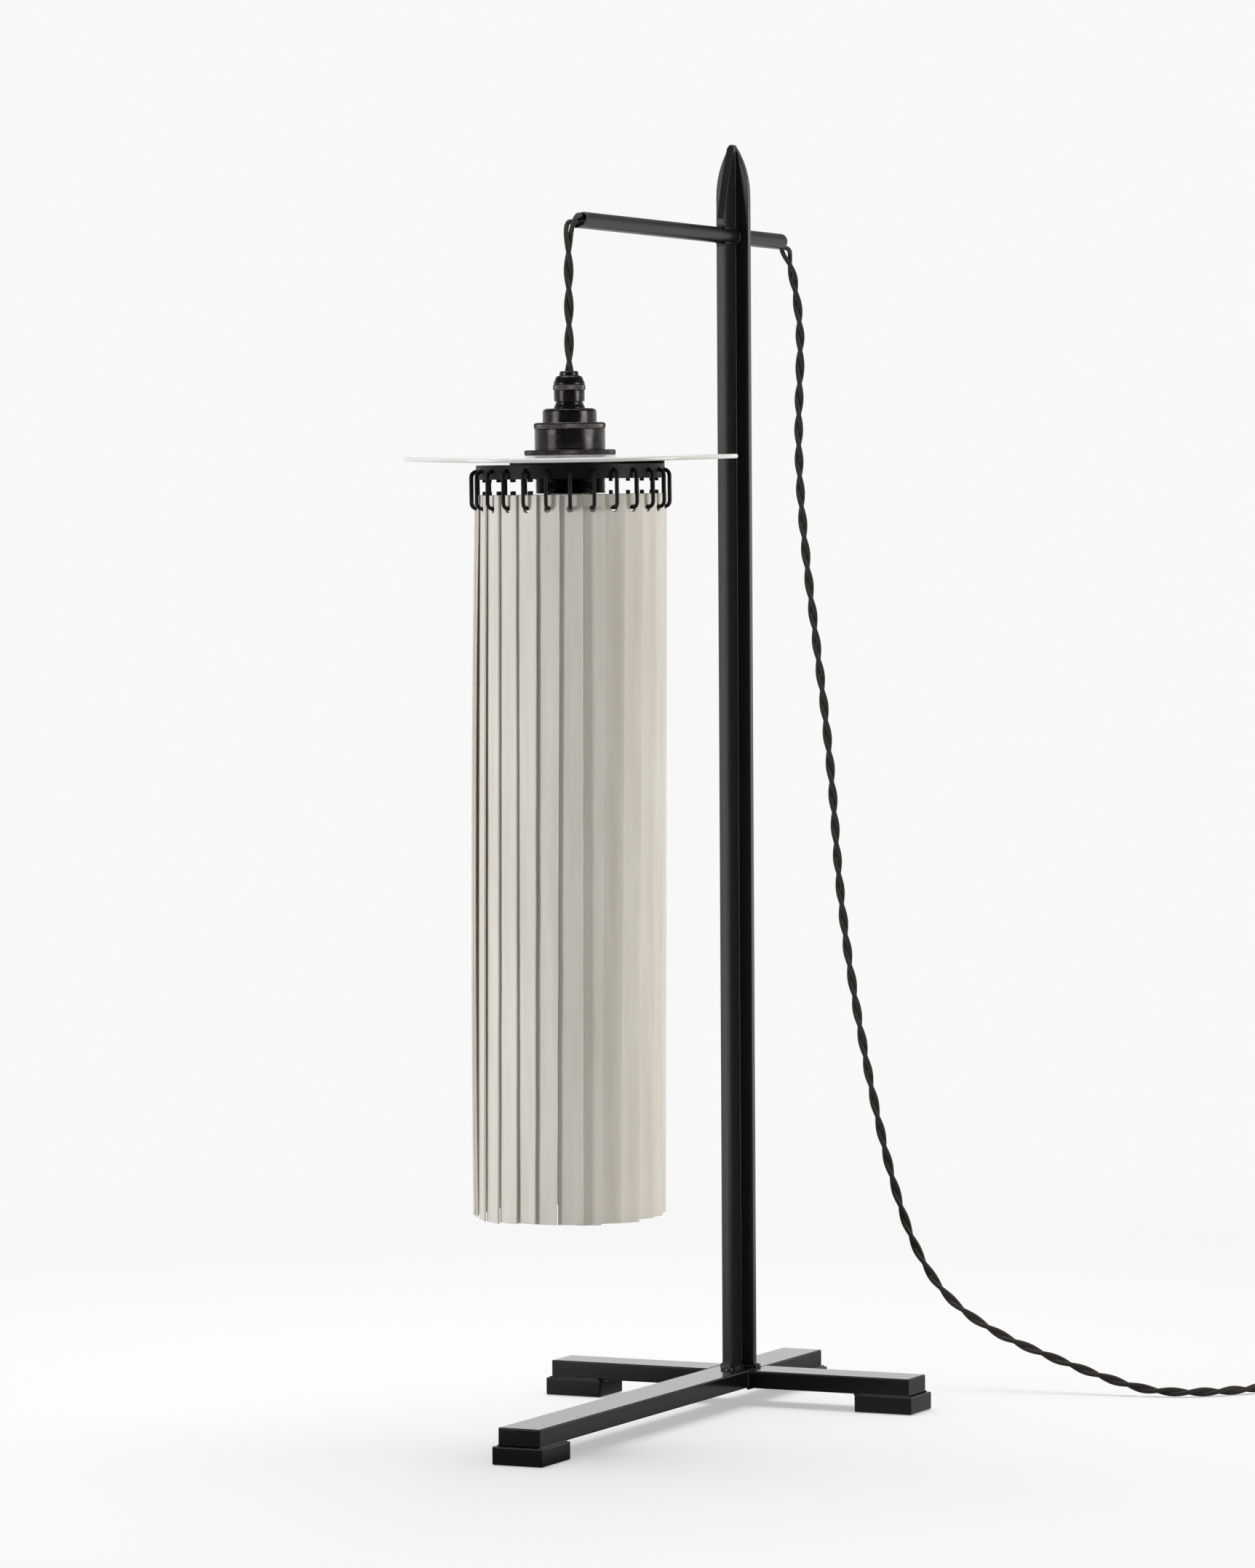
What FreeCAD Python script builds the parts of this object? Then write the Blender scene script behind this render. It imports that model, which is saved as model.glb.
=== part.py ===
# Table lamp: porcelain strips hang on wire links under a porcelain disc, on a black steel stand.
# Millimetres, Z up. The origin is on the floor, under the middle of the lamp without its cord.
# The long foot of the cross, the arm and the shade point along -Y.
import FreeCAD
import Part
import Sketcher
import math
import os
from types import SimpleNamespace
from FreeCAD import Placement, Rotation, Vector

# Driving sizes, all in the sheet
SIZES = {
    # Base cross and feet
    "bar_width": 25,
    "bar_thickness": 10,
    "front_reach": 281,
    "rear_reach": 93,
    "side_reach": 112.5,
    "foot_width": 30,
    "foot_length": 35,
    "foot_height": 10,
    "foot_overhang": 2.5,
    "edge_round": 0.8,
    # T-bar post with a pointed top
    "post_top": 721.5,
    "post_width": 20,
    "flange_thickness": 4,
    "web_depth": 16,
    "web_thickness": 4.5,
    "post_setback": 1.9,
    "point_height": 29.5,
    "point_tip": 1.8,
    "web_point_height": 43,
    "web_tip_depth": 1,
    "web_curve": 200,
    # Tube arm
    "arm_drop": 52.3,
    "arm_front": 197.5,
    "arm_rear": 69.5,
    "tube_diameter": 9.2,
    "tube_wall": 1,
    "weld_gap": 0.05,
    # Cord
    "cord_diameter": 5,
    "cord_bend": 10.5,
    "cord_gap": 0.3,
    "bight_length": 10,
    # Hanging place of the shade
    "hang_reach": 211.5,
    "shade_drop": 130,
    # Gland on top of the lampholder
    "gland_bore": 5.6,
    "gland_rim_diameter": 10.2,
    "gland_rim_height": 2.5,
    "gland_cone_top": 14.2,
    "gland_cone_foot": 17.1,
    "gland_cone_height": 4.8,
    "collar_diameter": 17.6,
    "collar_height": 3.2,
    "gland_diameter": 16.7,
    "gland_height": 5.9,
    "neck_diameter": 15.4,
    "neck_height": 3.8,
    "neck_foot_diameter": 17.3,
    "nipple_diameter": 8.2,
    "nipple_length": 4.5,
    # Lampholder
    "dome_diameter": 29.4,
    "dome_height": 7.6,
    "dome_shoulder": 4,
    "dome_wall": 1.4,
    "flange_height": 1.2,
    "flange_diameter": 36.8,
    "cap_ring_diameter": 39,
    "cap_ring_height": 3.6,
    "cap_ring_lip": 1.1,
    "skirt_diameter": 38.4,
    "skirt_height": 10.7,
    "skirt_wall": 1.2,
    "skirt_clearance": 0.5,
    "thread_diameter": 38,
    "thread_length": 24,
    "thread_gap": 0.1,
    "shade_ring_diameter": 49.6,
    "shade_ring_height": 2.8,
    "ring_chamfer": 0.5,
    # Insulator, contacts and bulb
    "insulator_gap": 0.2,
    "insulator_top": 10,
    "shell_bore": 26.7,
    "shell_wall": 0.4,
    "shell_length": 20,
    "contact_diameter": 8,
    "contact_height": 1.8,
    "bulb_cap_diameter": 26.4,
    "bulb_cap_length": 19,
    "bulb_tip_diameter": 9.6,
    "bulb_tip_height": 2,
    "bulb_neck_diameter": 27,
    "bulb_diameter": 60,
    "bulb_length": 104,
    "bulb_neck_length": 45,
    # Disc and carrier
    "disc_diameter": 182,
    "disc_thickness": 2.1,
    "disc_edge": 0.7,
    "hub_diameter": 52.8,
    "hub_height": 1,
    "spoke_count": 3,
    "spoke_width": 9,
    "spoke_azimuth": 111.5,
    "spider_thickness": 2,
    "band_diameter": 102.4,
    "band_wall": 2,
    "band_height": 7.8,
    "band_hole_gap": 0.25,
    "band_hole_drop": 3.3,
    # Wire links
    "wire_diameter": 2.1,
    "link_height": 20.1,
    "link_out": 3.9,
    "link_in": 3.2,
    "link_bend": 3.2,
    "link_inner_bend": 2,
    "upper_stub": 6,
    "lower_stub": 9.2,
    # Porcelain strips
    "strip_count": 26,
    "first_azimuth": 25.7,
    "shingle_angle": 8.5,
    "strip_width": 13.5,
    "strip_thickness": 1.1,
    "strip_length": 391.5,
    "strip_above_hole": 7.7,
    "strip_hole": 3.8,
    "strip_corner": 0.9,
    "hang_gap": 0.36,
    # Inline switch
    "switch_length": 62,
    "switch_width": 26,
    "switch_half_height": 7,
    "switch_round": 3,
    "rocker_length": 18,
    "rocker_width": 9,
    "rocker_gap": 0.7,
    "rocker_rise": 2.4,
    "rocker_pivot_height": 10.8,
    "rocker_depth": 2,
    "rocker_tilt": 6,
    # Coil of put-away cord and its tie
    "coil_radius": 34,
    "coil_step": 6.4,
    "coil_layer": 5.6,
    "coil_lead": 28,
    "tie_thickness": 0.9,
    "tie_width": 6,
    "tie_gap": 0.3,
    "tie_round": 2.5,
    # Plug
    "plug_width": 35,
    "plug_thickness": 13.6,
    "plug_shoulder": 8,
    "plug_length": 30,
    "plug_waist": 12,
    "plug_round": 2.5,
    "sleeve_length": 22,
    "sleeve_root": 10,
    "sleeve_end": 7.4,
    "pin_diameter": 4,
    "pin_length": 19,
    "pin_spacing": 18.6,
    "plug_lead": 34,
}

# How far a cutting outline reaches past the solid
OVER = 5

# The cord from the arm's rear end to the switch: x, y from that end, and height in the lamp as drawn.
TAIL_ROUTE = [
    (0, -9, 668.4), (0, 4, 668.4), (0.3, 13.5, 657), (1, 19.5, 641), (3, 21, 621), (3.2, 20.3, 598),
    (2.4, 19.5, 570), (2.6, 19, 541), (4.5, 18.8, 510), (8, 19.1, 476), (13, 19.5, 436), (18.5, 20.5, 390),
    (22.5, 21.5, 345), (25, 22.5, 300), (30, 23.5, 255), (37.5, 24.5, 210), (46, 26, 165), (56.3, 28, 120.3),
    (69.5, 30, 80.5), (89.5, 32, 51.5), (119, 35, 32.8), (150, 38.3, 21), (181, 41.5, 10.5), (207, 44, 3.6),
    (227, 48.5, 2.6), (243, 59, 2.6), (256, 74.5, 2.6), (267, 90.5, 3.4), (278, 105, 6.2), (288, 117.5, 7),
]
# The share of a run that its arcs may use at each end
ARC_SHARE = 0.45


class Size:
    """A size with the expression that drives it."""

    def __init__(self, value, text=None):
        self.value = float(value)
        self.text = text or f"({self.value!r})"

    def _join(self, sign, other, value):
        return Size(value, f"({self.text} {sign} {other.text})")

    def __add__(self, other):
        other = size_of(other)
        return self._join("+", other, self.value + other.value)

    def __sub__(self, other):
        other = size_of(other)
        return self._join("-", other, self.value - other.value)

    def __mul__(self, other):
        other = size_of(other)
        return self._join("*", other, self.value * other.value)

    def __truediv__(self, other):
        other = size_of(other)
        return self._join("/", other, self.value / other.value)

    def __neg__(self):
        return Size(-self.value, f"(-{self.text})")

    def __lt__(self, other):
        return self.value < size_of(other).value

    def __float__(self):
        return self.value


def size_of(value):
    return value if isinstance(value, Size) else Size(value)


ZERO = Size(0)
doc = FreeCAD.newDocument("PorcelainLamp")
nodes = {}


def make_sheet():
    """Put the driving sizes in a sheet and give each one as a Size."""
    sheet = doc.addObject("Spreadsheet::Sheet", "Sizes")
    for row, (name, value) in enumerate(SIZES.items(), 1):
        sheet.set(f"A{row}", name)
        sheet.set(f"B{row}", str(value))
        sheet.setAlias(f"B{row}", name)
    doc.recompute()
    return SimpleNamespace(**{name: Size(value, f"Sizes.{name}") for name, value in SIZES.items()})


s = make_sheet()


def node(label, piece):
    """Name a finished piece; the name is also its file's."""
    piece.Label = label
    nodes[label] = piece
    return piece


def place(piece, x=ZERO, y=ZERO, z=ZERO, turn=0.0, axis=Vector(0, 0, 1)):
    """Place a piece by expressions, turned about one axis."""
    piece.Placement = Placement(Vector(float(x), float(y), float(z)), Rotation(axis, turn))
    for name, value in (("x", x), ("y", y), ("z", z)):
        piece.setExpression(f"Placement.Base.{name}", size_of(value).text)
    return piece


def new_sketch(body, plane):
    support = next(f for f in body.Origin.OriginFeatures if f.Role == plane)
    sketch = body.newObject("Sketcher::SketchObject", f"{body.Name}_{plane[:2]}")
    sketch.AttachmentSupport = (support, [""])
    sketch.MapMode = "FlatFace"
    return sketch


def arc_middle(start, end, radius):
    """Middle of the shorter arc; a positive radius bulges to the right of the way from start to end."""
    chord = end - start
    half = chord.Length / 2
    sagitta = abs(radius) - math.sqrt(max(radius * radius - half * half, 0))
    right = Vector(chord.y, -chord.x, 0).normalize()
    return (start + end) * 0.5 + right * math.copysign(sagitta, radius)


def draw(sketch, points):
    """Draw a closed outline; a point with a third value starts an arc of that radius."""
    points = [tuple(size_of(v) for v in point) for point in points]
    spots = [Vector(float(p[0]), float(p[1]), 0) for p in points]
    ends = []
    for i, point in enumerate(points):
        start, end = spots[i], spots[(i + 1) % len(spots)]
        hollow = len(point) == 3 and point[2] < 0
        if len(point) == 3:
            middle = arc_middle(start, end, float(point[2]))
            curve = Part.Arc(end, middle, start) if hollow else Part.Arc(start, middle, end)
        else:
            curve = Part.LineSegment(start, end)
        index = sketch.addGeometry(curve, False)
        ends.append((index, 2, 1) if hollow else (index, 1, 2))
    constraints, drivers = [], []
    for i, point in enumerate(points):
        index, first, last = ends[i]
        after = ends[(i + 1) % len(ends)]
        constraints.append(Sketcher.Constraint("Coincident", index, last, after[0], after[1]))
        drivers.append(None)
        for kind, axis, value in (("DistanceX", -2, point[0]), ("DistanceY", -1, point[1])):
            if value is ZERO:
                constraints.append(Sketcher.Constraint("PointOnObject", index, first, axis))
                drivers.append(None)
            else:
                constraints.append(Sketcher.Constraint(kind, -1, 1, index, first, value.value))
                drivers.append(value)
        if len(point) == 3:
            radius = -point[2] if point[2] < 0 else point[2]
            constraints.append(Sketcher.Constraint("Radius", index, radius.value))
            drivers.append(radius)
    add_constraints(sketch, constraints, drivers)


def draw_circle(sketch, x, y, radius):
    x, y = size_of(x), size_of(y)
    circle = Part.Circle(Vector(float(x), float(y), 0), Vector(0, 0, 1), float(radius))
    index = sketch.addGeometry(circle, False)
    constraints = [Sketcher.Constraint("Radius", index, float(radius))]
    drivers = [radius]
    for kind, axis, value in (("DistanceX", -2, x), ("DistanceY", -1, y)):
        if value is ZERO:
            constraints.append(Sketcher.Constraint("PointOnObject", index, 3, axis))
            drivers.append(None)
        else:
            constraints.append(Sketcher.Constraint(kind, -1, 1, index, 3, value.value))
            drivers.append(value)
    add_constraints(sketch, constraints, drivers)


def add_constraints(sketch, constraints, drivers):
    for index, driver in zip(sketch.addConstraint(constraints), drivers):
        if driver is not None:
            sketch.setExpression(f"Constraints[{index}]", driver.text)


def pad(body, sketch, length, both_ways=False):
    feature = body.newObject("PartDesign::Pad", f"{body.Name}_pad")
    feature.Profile = sketch
    feature.SideType = "Symmetric" if both_ways else "One side"
    feature.setExpression("Length", size_of(length).text)
    return feature


def pocket_through(body, sketch):
    feature = body.newObject("PartDesign::Pocket", f"{body.Name}_pocket")
    feature.Profile = sketch
    feature.Type = "ThroughAll"
    feature.SideType = "Symmetric"
    feature.Type2 = "ThroughAll"
    return feature


def new_body(name):
    return doc.addObject("PartDesign::Body", name)


def turned(label, outline):
    """A piece turned about its own Z axis; the outline is radius and height."""
    body = new_body(label)
    sketch = new_sketch(body, "XZ_Plane")
    draw(sketch, outline)
    feature = body.newObject("PartDesign::Revolution", f"{label}_turn")
    feature.Profile = sketch
    feature.ReferenceAxis = (sketch, ["V_Axis"])
    feature.Angle = 360
    return node(label, body)


def block(name, x, y, z, length_x, length_y, height, rounding):
    """A bar or foot centred on x and y, standing on z, with softened edges."""
    body = new_body(name)
    sketch = new_sketch(body, "XY_Plane")
    half_x, half_y = length_x / 2, length_y / 2
    draw(sketch, [(-half_x, -half_y), (half_x, -half_y), (half_x, half_y), (-half_x, half_y)])
    base = pad(body, sketch, height)
    soften(body, base, rounding)
    return place(body, x, y, z)


def soften(body, base, rounding):
    doc.recompute()
    feature = body.newObject("PartDesign::Fillet", f"{body.Name}_round")
    feature.Base = (base, ["Edge1"])
    feature.UseAllEdges = True
    feature.setExpression("Radius", rounding.text)
    return feature


# Places that several pieces share
front_end = max(s.hang_reach + s.disc_diameter / 2, s.front_reach + s.foot_overhang)
rear_end = s.rear_reach + s.foot_overhang
cross_y = (front_end - rear_end) / 2
hang_y = cross_y - s.hang_reach
bar_top = s.foot_height + s.bar_thickness
arm_height = s.post_top - s.arm_drop
tube_radius = s.tube_diameter / 2
tube_bore = tube_radius - s.tube_wall
cord_radius = s.cord_diameter / 2
cord_axis_z = arm_height - tube_bore + cord_radius + s.cord_gap


def make_base():
    long_bar = block(
        "base_long_bar", ZERO, cross_y + (s.rear_reach - s.front_reach) / 2, s.foot_height,
        s.bar_width, s.front_reach + s.rear_reach, s.bar_thickness, s.edge_round,
    )
    node("base_long_bar", long_bar)
    side_length = s.side_reach - s.bar_width / 2
    side_middle = (s.side_reach + s.bar_width / 2) / 2
    for label, middle in (("base_left_bar", -side_middle), ("base_right_bar", side_middle)):
        bar = block(
            label, middle, cross_y, s.foot_height, side_length, s.bar_width, s.bar_thickness, s.edge_round,
        )
        node(label, bar)
    in_step = s.foot_overhang - s.foot_length / 2
    feet = [
        block("foot_front", ZERO, cross_y - s.front_reach - in_step, ZERO,
              s.foot_width, s.foot_length, s.foot_height, s.edge_round),
        block("foot_rear", ZERO, cross_y + s.rear_reach + in_step, ZERO,
              s.foot_width, s.foot_length, s.foot_height, s.edge_round),
        block("foot_left", -s.side_reach - in_step, cross_y, ZERO,
              s.foot_length, s.foot_width, s.foot_height, s.edge_round),
        block("foot_right", s.side_reach + in_step, cross_y, ZERO,
              s.foot_length, s.foot_width, s.foot_height, s.edge_round),
    ]
    group = doc.addObject("Part::Compound", "feet")
    group.Links = feet
    node("feet", group)


def make_post():
    """T-bar, its flange cut to a lancet point and its web swept back to the tip."""
    body = new_body("post")
    half, web = s.post_width / 2, s.web_thickness / 2
    face = s.post_setback
    web_front = face - s.web_depth
    back = face + s.flange_thickness
    section = new_sketch(body, "XY_Plane")
    draw(section, [
        (-web, web_front), (web, web_front), (web, face), (half, face),
        (half, back), (-half, back), (-half, face), (-web, face),
    ])
    height = s.post_top - bar_top
    pad(body, section, height)
    tip = s.point_tip / 2
    rise = half - tip
    sweep = (rise * rise + s.point_height * s.point_height) / (rise * 2)
    spring = height - s.point_height
    top = height + OVER
    flange_point = new_sketch(body, "XZ_Plane")
    draw(flange_point, [
        (half, spring), (half + OVER, spring), (half + OVER, top), (tip, top), (tip, height, -sweep),
    ])
    draw(flange_point, [
        (-half, spring, -sweep), (-tip, height), (-tip, top), (-half - OVER, top), (-half - OVER, spring),
    ])
    pocket_through(body, flange_point)
    web_spring = height - s.web_point_height
    web_point = new_sketch(body, "YZ_Plane")
    draw(web_point, [
        (web_front - OVER, web_spring), (web_front, web_spring, -s.web_curve),
        (face - s.web_tip_depth, height), (face - s.web_tip_depth, top), (web_front - OVER, top),
    ])
    pocket_through(body, web_point)
    hole = new_sketch(body, "XZ_Plane")
    draw_circle(hole, ZERO, arm_height - bar_top, tube_radius + s.weld_gap)
    pocket_through(body, hole)
    node("post", place(body, ZERO, cross_y, bar_top))


def make_arm():
    """Tube with a square rear end and a front mouth cut at 45 degrees, its lower lip the longer one."""
    body = new_body("arm_tube")
    ring = new_sketch(body, "XZ_Plane")
    draw_circle(ring, ZERO, ZERO, tube_radius)
    draw_circle(ring, ZERO, ZERO, tube_bore)
    length = s.arm_rear + s.arm_front
    pad(body, ring, length + tube_radius)
    mouth = new_sketch(body, "YZ_Plane")
    beyond = tube_radius + OVER
    draw(mouth, [(-length - beyond, -beyond), (-length + beyond, beyond), (-length - beyond, beyond)])
    pocket_through(body, mouth)
    node("arm_tube", place(body, ZERO, cross_y + s.arm_rear, arm_height))


def arc_edge(start, heading, end):
    """Arc from start, leaving along heading, to end; a straight edge where they are in line."""
    chord = end - start
    side = chord - heading * chord.dot(heading)
    if side.Length < 1e-6:
        return Part.LineSegment(start, end).toShape()
    side.normalize()
    centre = start + side * (chord.Length ** 2 / (2 * chord.dot(side)))
    out = (start - centre) + (end - centre)
    radius = (start - centre).Length
    return Part.Arc(start, centre + out.normalize() * radius, end).toShape()


def rounded_path(points, label):
    """Straight runs joined by arcs, each as large as its two runs allow."""
    edges, radii = [], []
    here = points[0]
    for before, corner, after in zip(points, points[1:], points[2:]):
        run_in, run_out = corner - before, after - corner
        half_turn = run_in.getAngle(run_out) / 2
        reach = ARC_SHARE * min(run_in.Length, run_out.Length)
        radii.append(reach / math.tan(half_turn))
        heading = Vector(run_in).normalize()
        start = corner - heading * reach
        end = corner + Vector(run_out).normalize() * reach
        edges.append(Part.LineSegment(here, start).toShape())
        edges.append(arc_edge(start, heading, end))
        here = end
    edges.append(Part.LineSegment(here, points[-1]).toShape())
    print(label, "bend radii:", " ".join(f"{r:.0f}" for r in radii))
    return Part.Wire(edges)


def pipe(path, diameter):
    """Round tube along a path, its section square to the path's start."""
    start = path.Edges[0]
    heading = start.tangentAt(start.FirstParameter)
    circle = Part.Circle(start.valueAt(start.FirstParameter), heading, diameter / 2)
    solid = path.makePipeShell([Part.Wire(circle.toShape())], True, False)
    wanted = math.pi * diameter ** 2 / 4 * path.Length
    if abs(solid.Volume - wanted) > 0.01 * wanted:
        raise ValueError(f"tube volume {solid.Volume:.0f}, expected {wanted:.0f}")
    return solid


def shaped(label, shape):
    piece = doc.addObject("Part::Feature", label)
    piece.Shape = shape
    return node(label, piece)


def make_arm_cord():
    """The cord through the arm, over the lower lip and down to where it hangs free."""
    bend = float(s.cord_bend)
    y_hang, z_axis = float(hang_y), float(cord_axis_z)
    rear = route_point(TAIL_ROUTE[0])
    turn_start = Vector(0, y_hang + bend, z_axis)
    turn_end = Vector(0, y_hang, z_axis - bend)
    path = Part.Wire([
        Part.LineSegment(rear, turn_start).toShape(),
        arc_edge(turn_start, Vector(0, -1, 0), turn_end),
    ])
    shaped("cord_in_arm", pipe(path, float(s.cord_diameter)))


def make_hanging_cord():
    """The short bight under the mouth, and the cord that carries the shade; each turns in a round end."""
    lead_end = cord_axis_z - s.cord_bend
    bight_centre = lead_end - s.cord_gap - cord_radius
    bight_foot = lead_end - s.bight_length
    hang_centre = bight_foot - s.cord_gap - cord_radius
    bight = turned("cord_bight", [
        (ZERO, bight_foot), (cord_radius, bight_foot), (cord_radius, bight_centre, cord_radius),
        (ZERO, bight_centre + cord_radius),
    ])
    place(bight, ZERO, hang_y)
    hanging = turned("pendant_cord", [
        (ZERO, cord_foot), (cord_radius, cord_foot), (cord_radius, hang_centre, cord_radius),
        (ZERO, hang_centre + cord_radius),
    ])
    place(hanging, ZERO, hang_y)
    return bight_centre, hang_centre


# Heights of the shade, from the disc upwards and downwards
disc_foot = arm_height - s.shade_drop
disc_top = disc_foot + s.disc_thickness
upper_ring_top = disc_top + s.shade_ring_height
skirt_foot = upper_ring_top + s.skirt_clearance
skirt_shoulder = skirt_foot + s.skirt_height
flange_foot = skirt_shoulder + s.cap_ring_height - s.cap_ring_lip - s.flange_height
flange_top = flange_foot + s.flange_height
cap_ring_top = flange_top + s.cap_ring_lip
dome_top = cap_ring_top + s.dome_height
gland_foot = dome_top
gland_top = gland_foot + s.neck_height + s.gland_height
collar_top = gland_top + s.collar_height
spider_foot = disc_foot - s.hub_height - s.spider_thickness
band_foot = spider_foot - s.band_height
thread_foot = skirt_foot - s.thread_length
thread_radius = s.thread_diameter / 2
link_top = spider_foot - s.band_hole_drop
link_foot = link_top - s.link_height
thread_bore = thread_radius - s.skirt_wall
insulator_radius = thread_bore - s.insulator_gap
insulator_head = skirt_foot + s.insulator_top
cord_foot = insulator_head + s.cord_gap


def on_axis(label, outline):
    return place(turned(label, outline), ZERO, hang_y)


def make_gland():
    bore = s.gland_bore / 2
    body, neck = s.gland_diameter / 2, s.neck_diameter / 2
    neck_foot, nipple = s.neck_foot_diameter / 2, s.nipple_diameter / 2
    flare = s.neck_height / 2
    on_axis("gland_body", [
        (bore, gland_foot - s.nipple_length), (nipple, gland_foot - s.nipple_length), (nipple, gland_foot),
        (neck_foot, gland_foot), (neck, gland_foot + flare), (neck, gland_foot + s.neck_height),
        (body, gland_foot + s.neck_height), (body, gland_top), (bore, gland_top),
    ])
    collar, chamfer = s.collar_diameter / 2, s.ring_chamfer
    on_axis("gland_collar", [
        (bore, gland_top), (collar - chamfer, gland_top), (collar, gland_top + chamfer),
        (collar, collar_top - chamfer), (collar - chamfer, collar_top), (bore, collar_top),
    ])
    cone_top = collar_top + s.gland_cone_height
    rim_top = cone_top + s.gland_rim_height
    rim = s.gland_rim_diameter / 2
    on_axis("gland_cap", [
        (bore, collar_top), (s.gland_cone_foot / 2, collar_top), (s.gland_cone_top / 2, cone_top),
        (rim, cone_top), (rim, rim_top - chamfer), (rim - chamfer, rim_top), (bore, rim_top),
    ])


def make_holder():
    dome, flange = s.dome_diameter / 2, s.flange_diameter / 2
    shoulder, wall = s.dome_shoulder, s.dome_wall
    bore = s.nipple_diameter / 2 + s.thread_gap
    on_axis("holder_cap", [
        (flange - wall * 2, flange_foot), (flange, flange_foot), (flange, flange_top), (dome, flange_top),
        (dome, dome_top - shoulder, shoulder), (dome - shoulder, dome_top), (bore, dome_top),
        (bore, dome_top - wall), (dome - shoulder, dome_top - wall, -(shoulder - wall)),
        (dome - wall, dome_top - shoulder), (dome - wall, flange_top),
    ])
    ring, chamfer = s.cap_ring_diameter / 2, s.ring_chamfer
    ring_bore = flange + s.thread_gap
    on_axis("cap_ring", [
        (ring_bore, skirt_shoulder), (ring - chamfer, skirt_shoulder), (ring, skirt_shoulder + chamfer),
        (ring, cap_ring_top - chamfer), (ring - chamfer, cap_ring_top), (dome + s.thread_gap, cap_ring_top),
        (dome + s.thread_gap, flange_top), (ring_bore, flange_top),
    ])
    skirt = s.skirt_diameter / 2
    on_axis("holder_skirt", [
        (thread_bore, thread_foot), (thread_radius, thread_foot), (thread_radius, skirt_foot),
        (skirt, skirt_foot), (skirt, skirt_shoulder), (flange, skirt_shoulder), (flange, flange_foot),
        (thread_bore, flange_foot),
    ])
    ring_feet = {"shade_ring_upper": disc_top, "shade_ring_lower": spider_foot - s.shade_ring_height}
    for label, foot in ring_feet.items():
        outer = s.shade_ring_diameter / 2
        inner, head = thread_radius + s.thread_gap, foot + s.shade_ring_height
        on_axis(label, [
            (inner, foot), (outer - chamfer, foot), (outer, foot + chamfer),
            (outer, head - chamfer), (outer - chamfer, head), (inner, head),
        ])


def make_socket_and_bulb():
    """Insulator with its screw shell and centre contact, and the bulb screwed up against them."""
    shell = s.shell_bore / 2 + s.shell_wall
    sleeve_bore = shell + s.weld_gap
    sleeve_foot = skirt_foot - s.shell_length
    on_axis("holder_insulator", [
        (ZERO, skirt_foot), (sleeve_bore, skirt_foot), (sleeve_bore, sleeve_foot),
        (insulator_radius, sleeve_foot), (insulator_radius, insulator_head), (ZERO, insulator_head),
    ])
    on_axis("screw_shell", [
        (s.shell_bore / 2, sleeve_foot), (shell, sleeve_foot),
        (shell, skirt_foot), (s.shell_bore / 2, skirt_foot),
    ])
    contact_foot = skirt_foot - s.contact_height
    on_axis("centre_contact", [
        (ZERO, contact_foot), (s.contact_diameter / 2 - s.ring_chamfer, contact_foot),
        (s.contact_diameter / 2, contact_foot + s.ring_chamfer), (s.contact_diameter / 2, skirt_foot),
        (ZERO, skirt_foot),
    ])
    cap, tip = s.bulb_cap_diameter / 2, s.bulb_tip_diameter / 2
    cap_head = contact_foot - s.bulb_tip_height
    glass_top = cap_head - s.bulb_cap_length
    on_axis("bulb_cap", [
        (ZERO, glass_top), (cap, glass_top), (cap, cap_head), (tip, contact_foot), (ZERO, contact_foot),
    ])
    neck, globe = s.bulb_neck_diameter / 2, s.bulb_diameter / 2
    glass_foot = glass_top - s.bulb_length
    belly = glass_foot + globe
    neck_foot = glass_top - s.bulb_neck_length + neck
    swell = neck_foot - belly
    swell_radius = (swell * swell) / ((globe - neck) * 4) + (globe - neck) / 4
    halfway = (belly + neck_foot) / 2
    on_axis("bulb_glass", [
        (ZERO, glass_foot, globe), (globe, belly, swell_radius), ((globe + neck) / 2, halfway, -swell_radius),
        (neck, neck_foot), (neck, glass_top), (ZERO, glass_top),
    ])


def make_disc():
    outer, edge = s.disc_diameter / 2, s.disc_edge
    inner = thread_radius + s.thread_gap
    on_axis("porcelain_disc", [
        (inner, disc_foot), (outer - edge, disc_foot), (outer, disc_foot + edge),
        (outer, disc_top - edge), (outer - edge, disc_top), (inner, disc_top),
    ])


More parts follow.
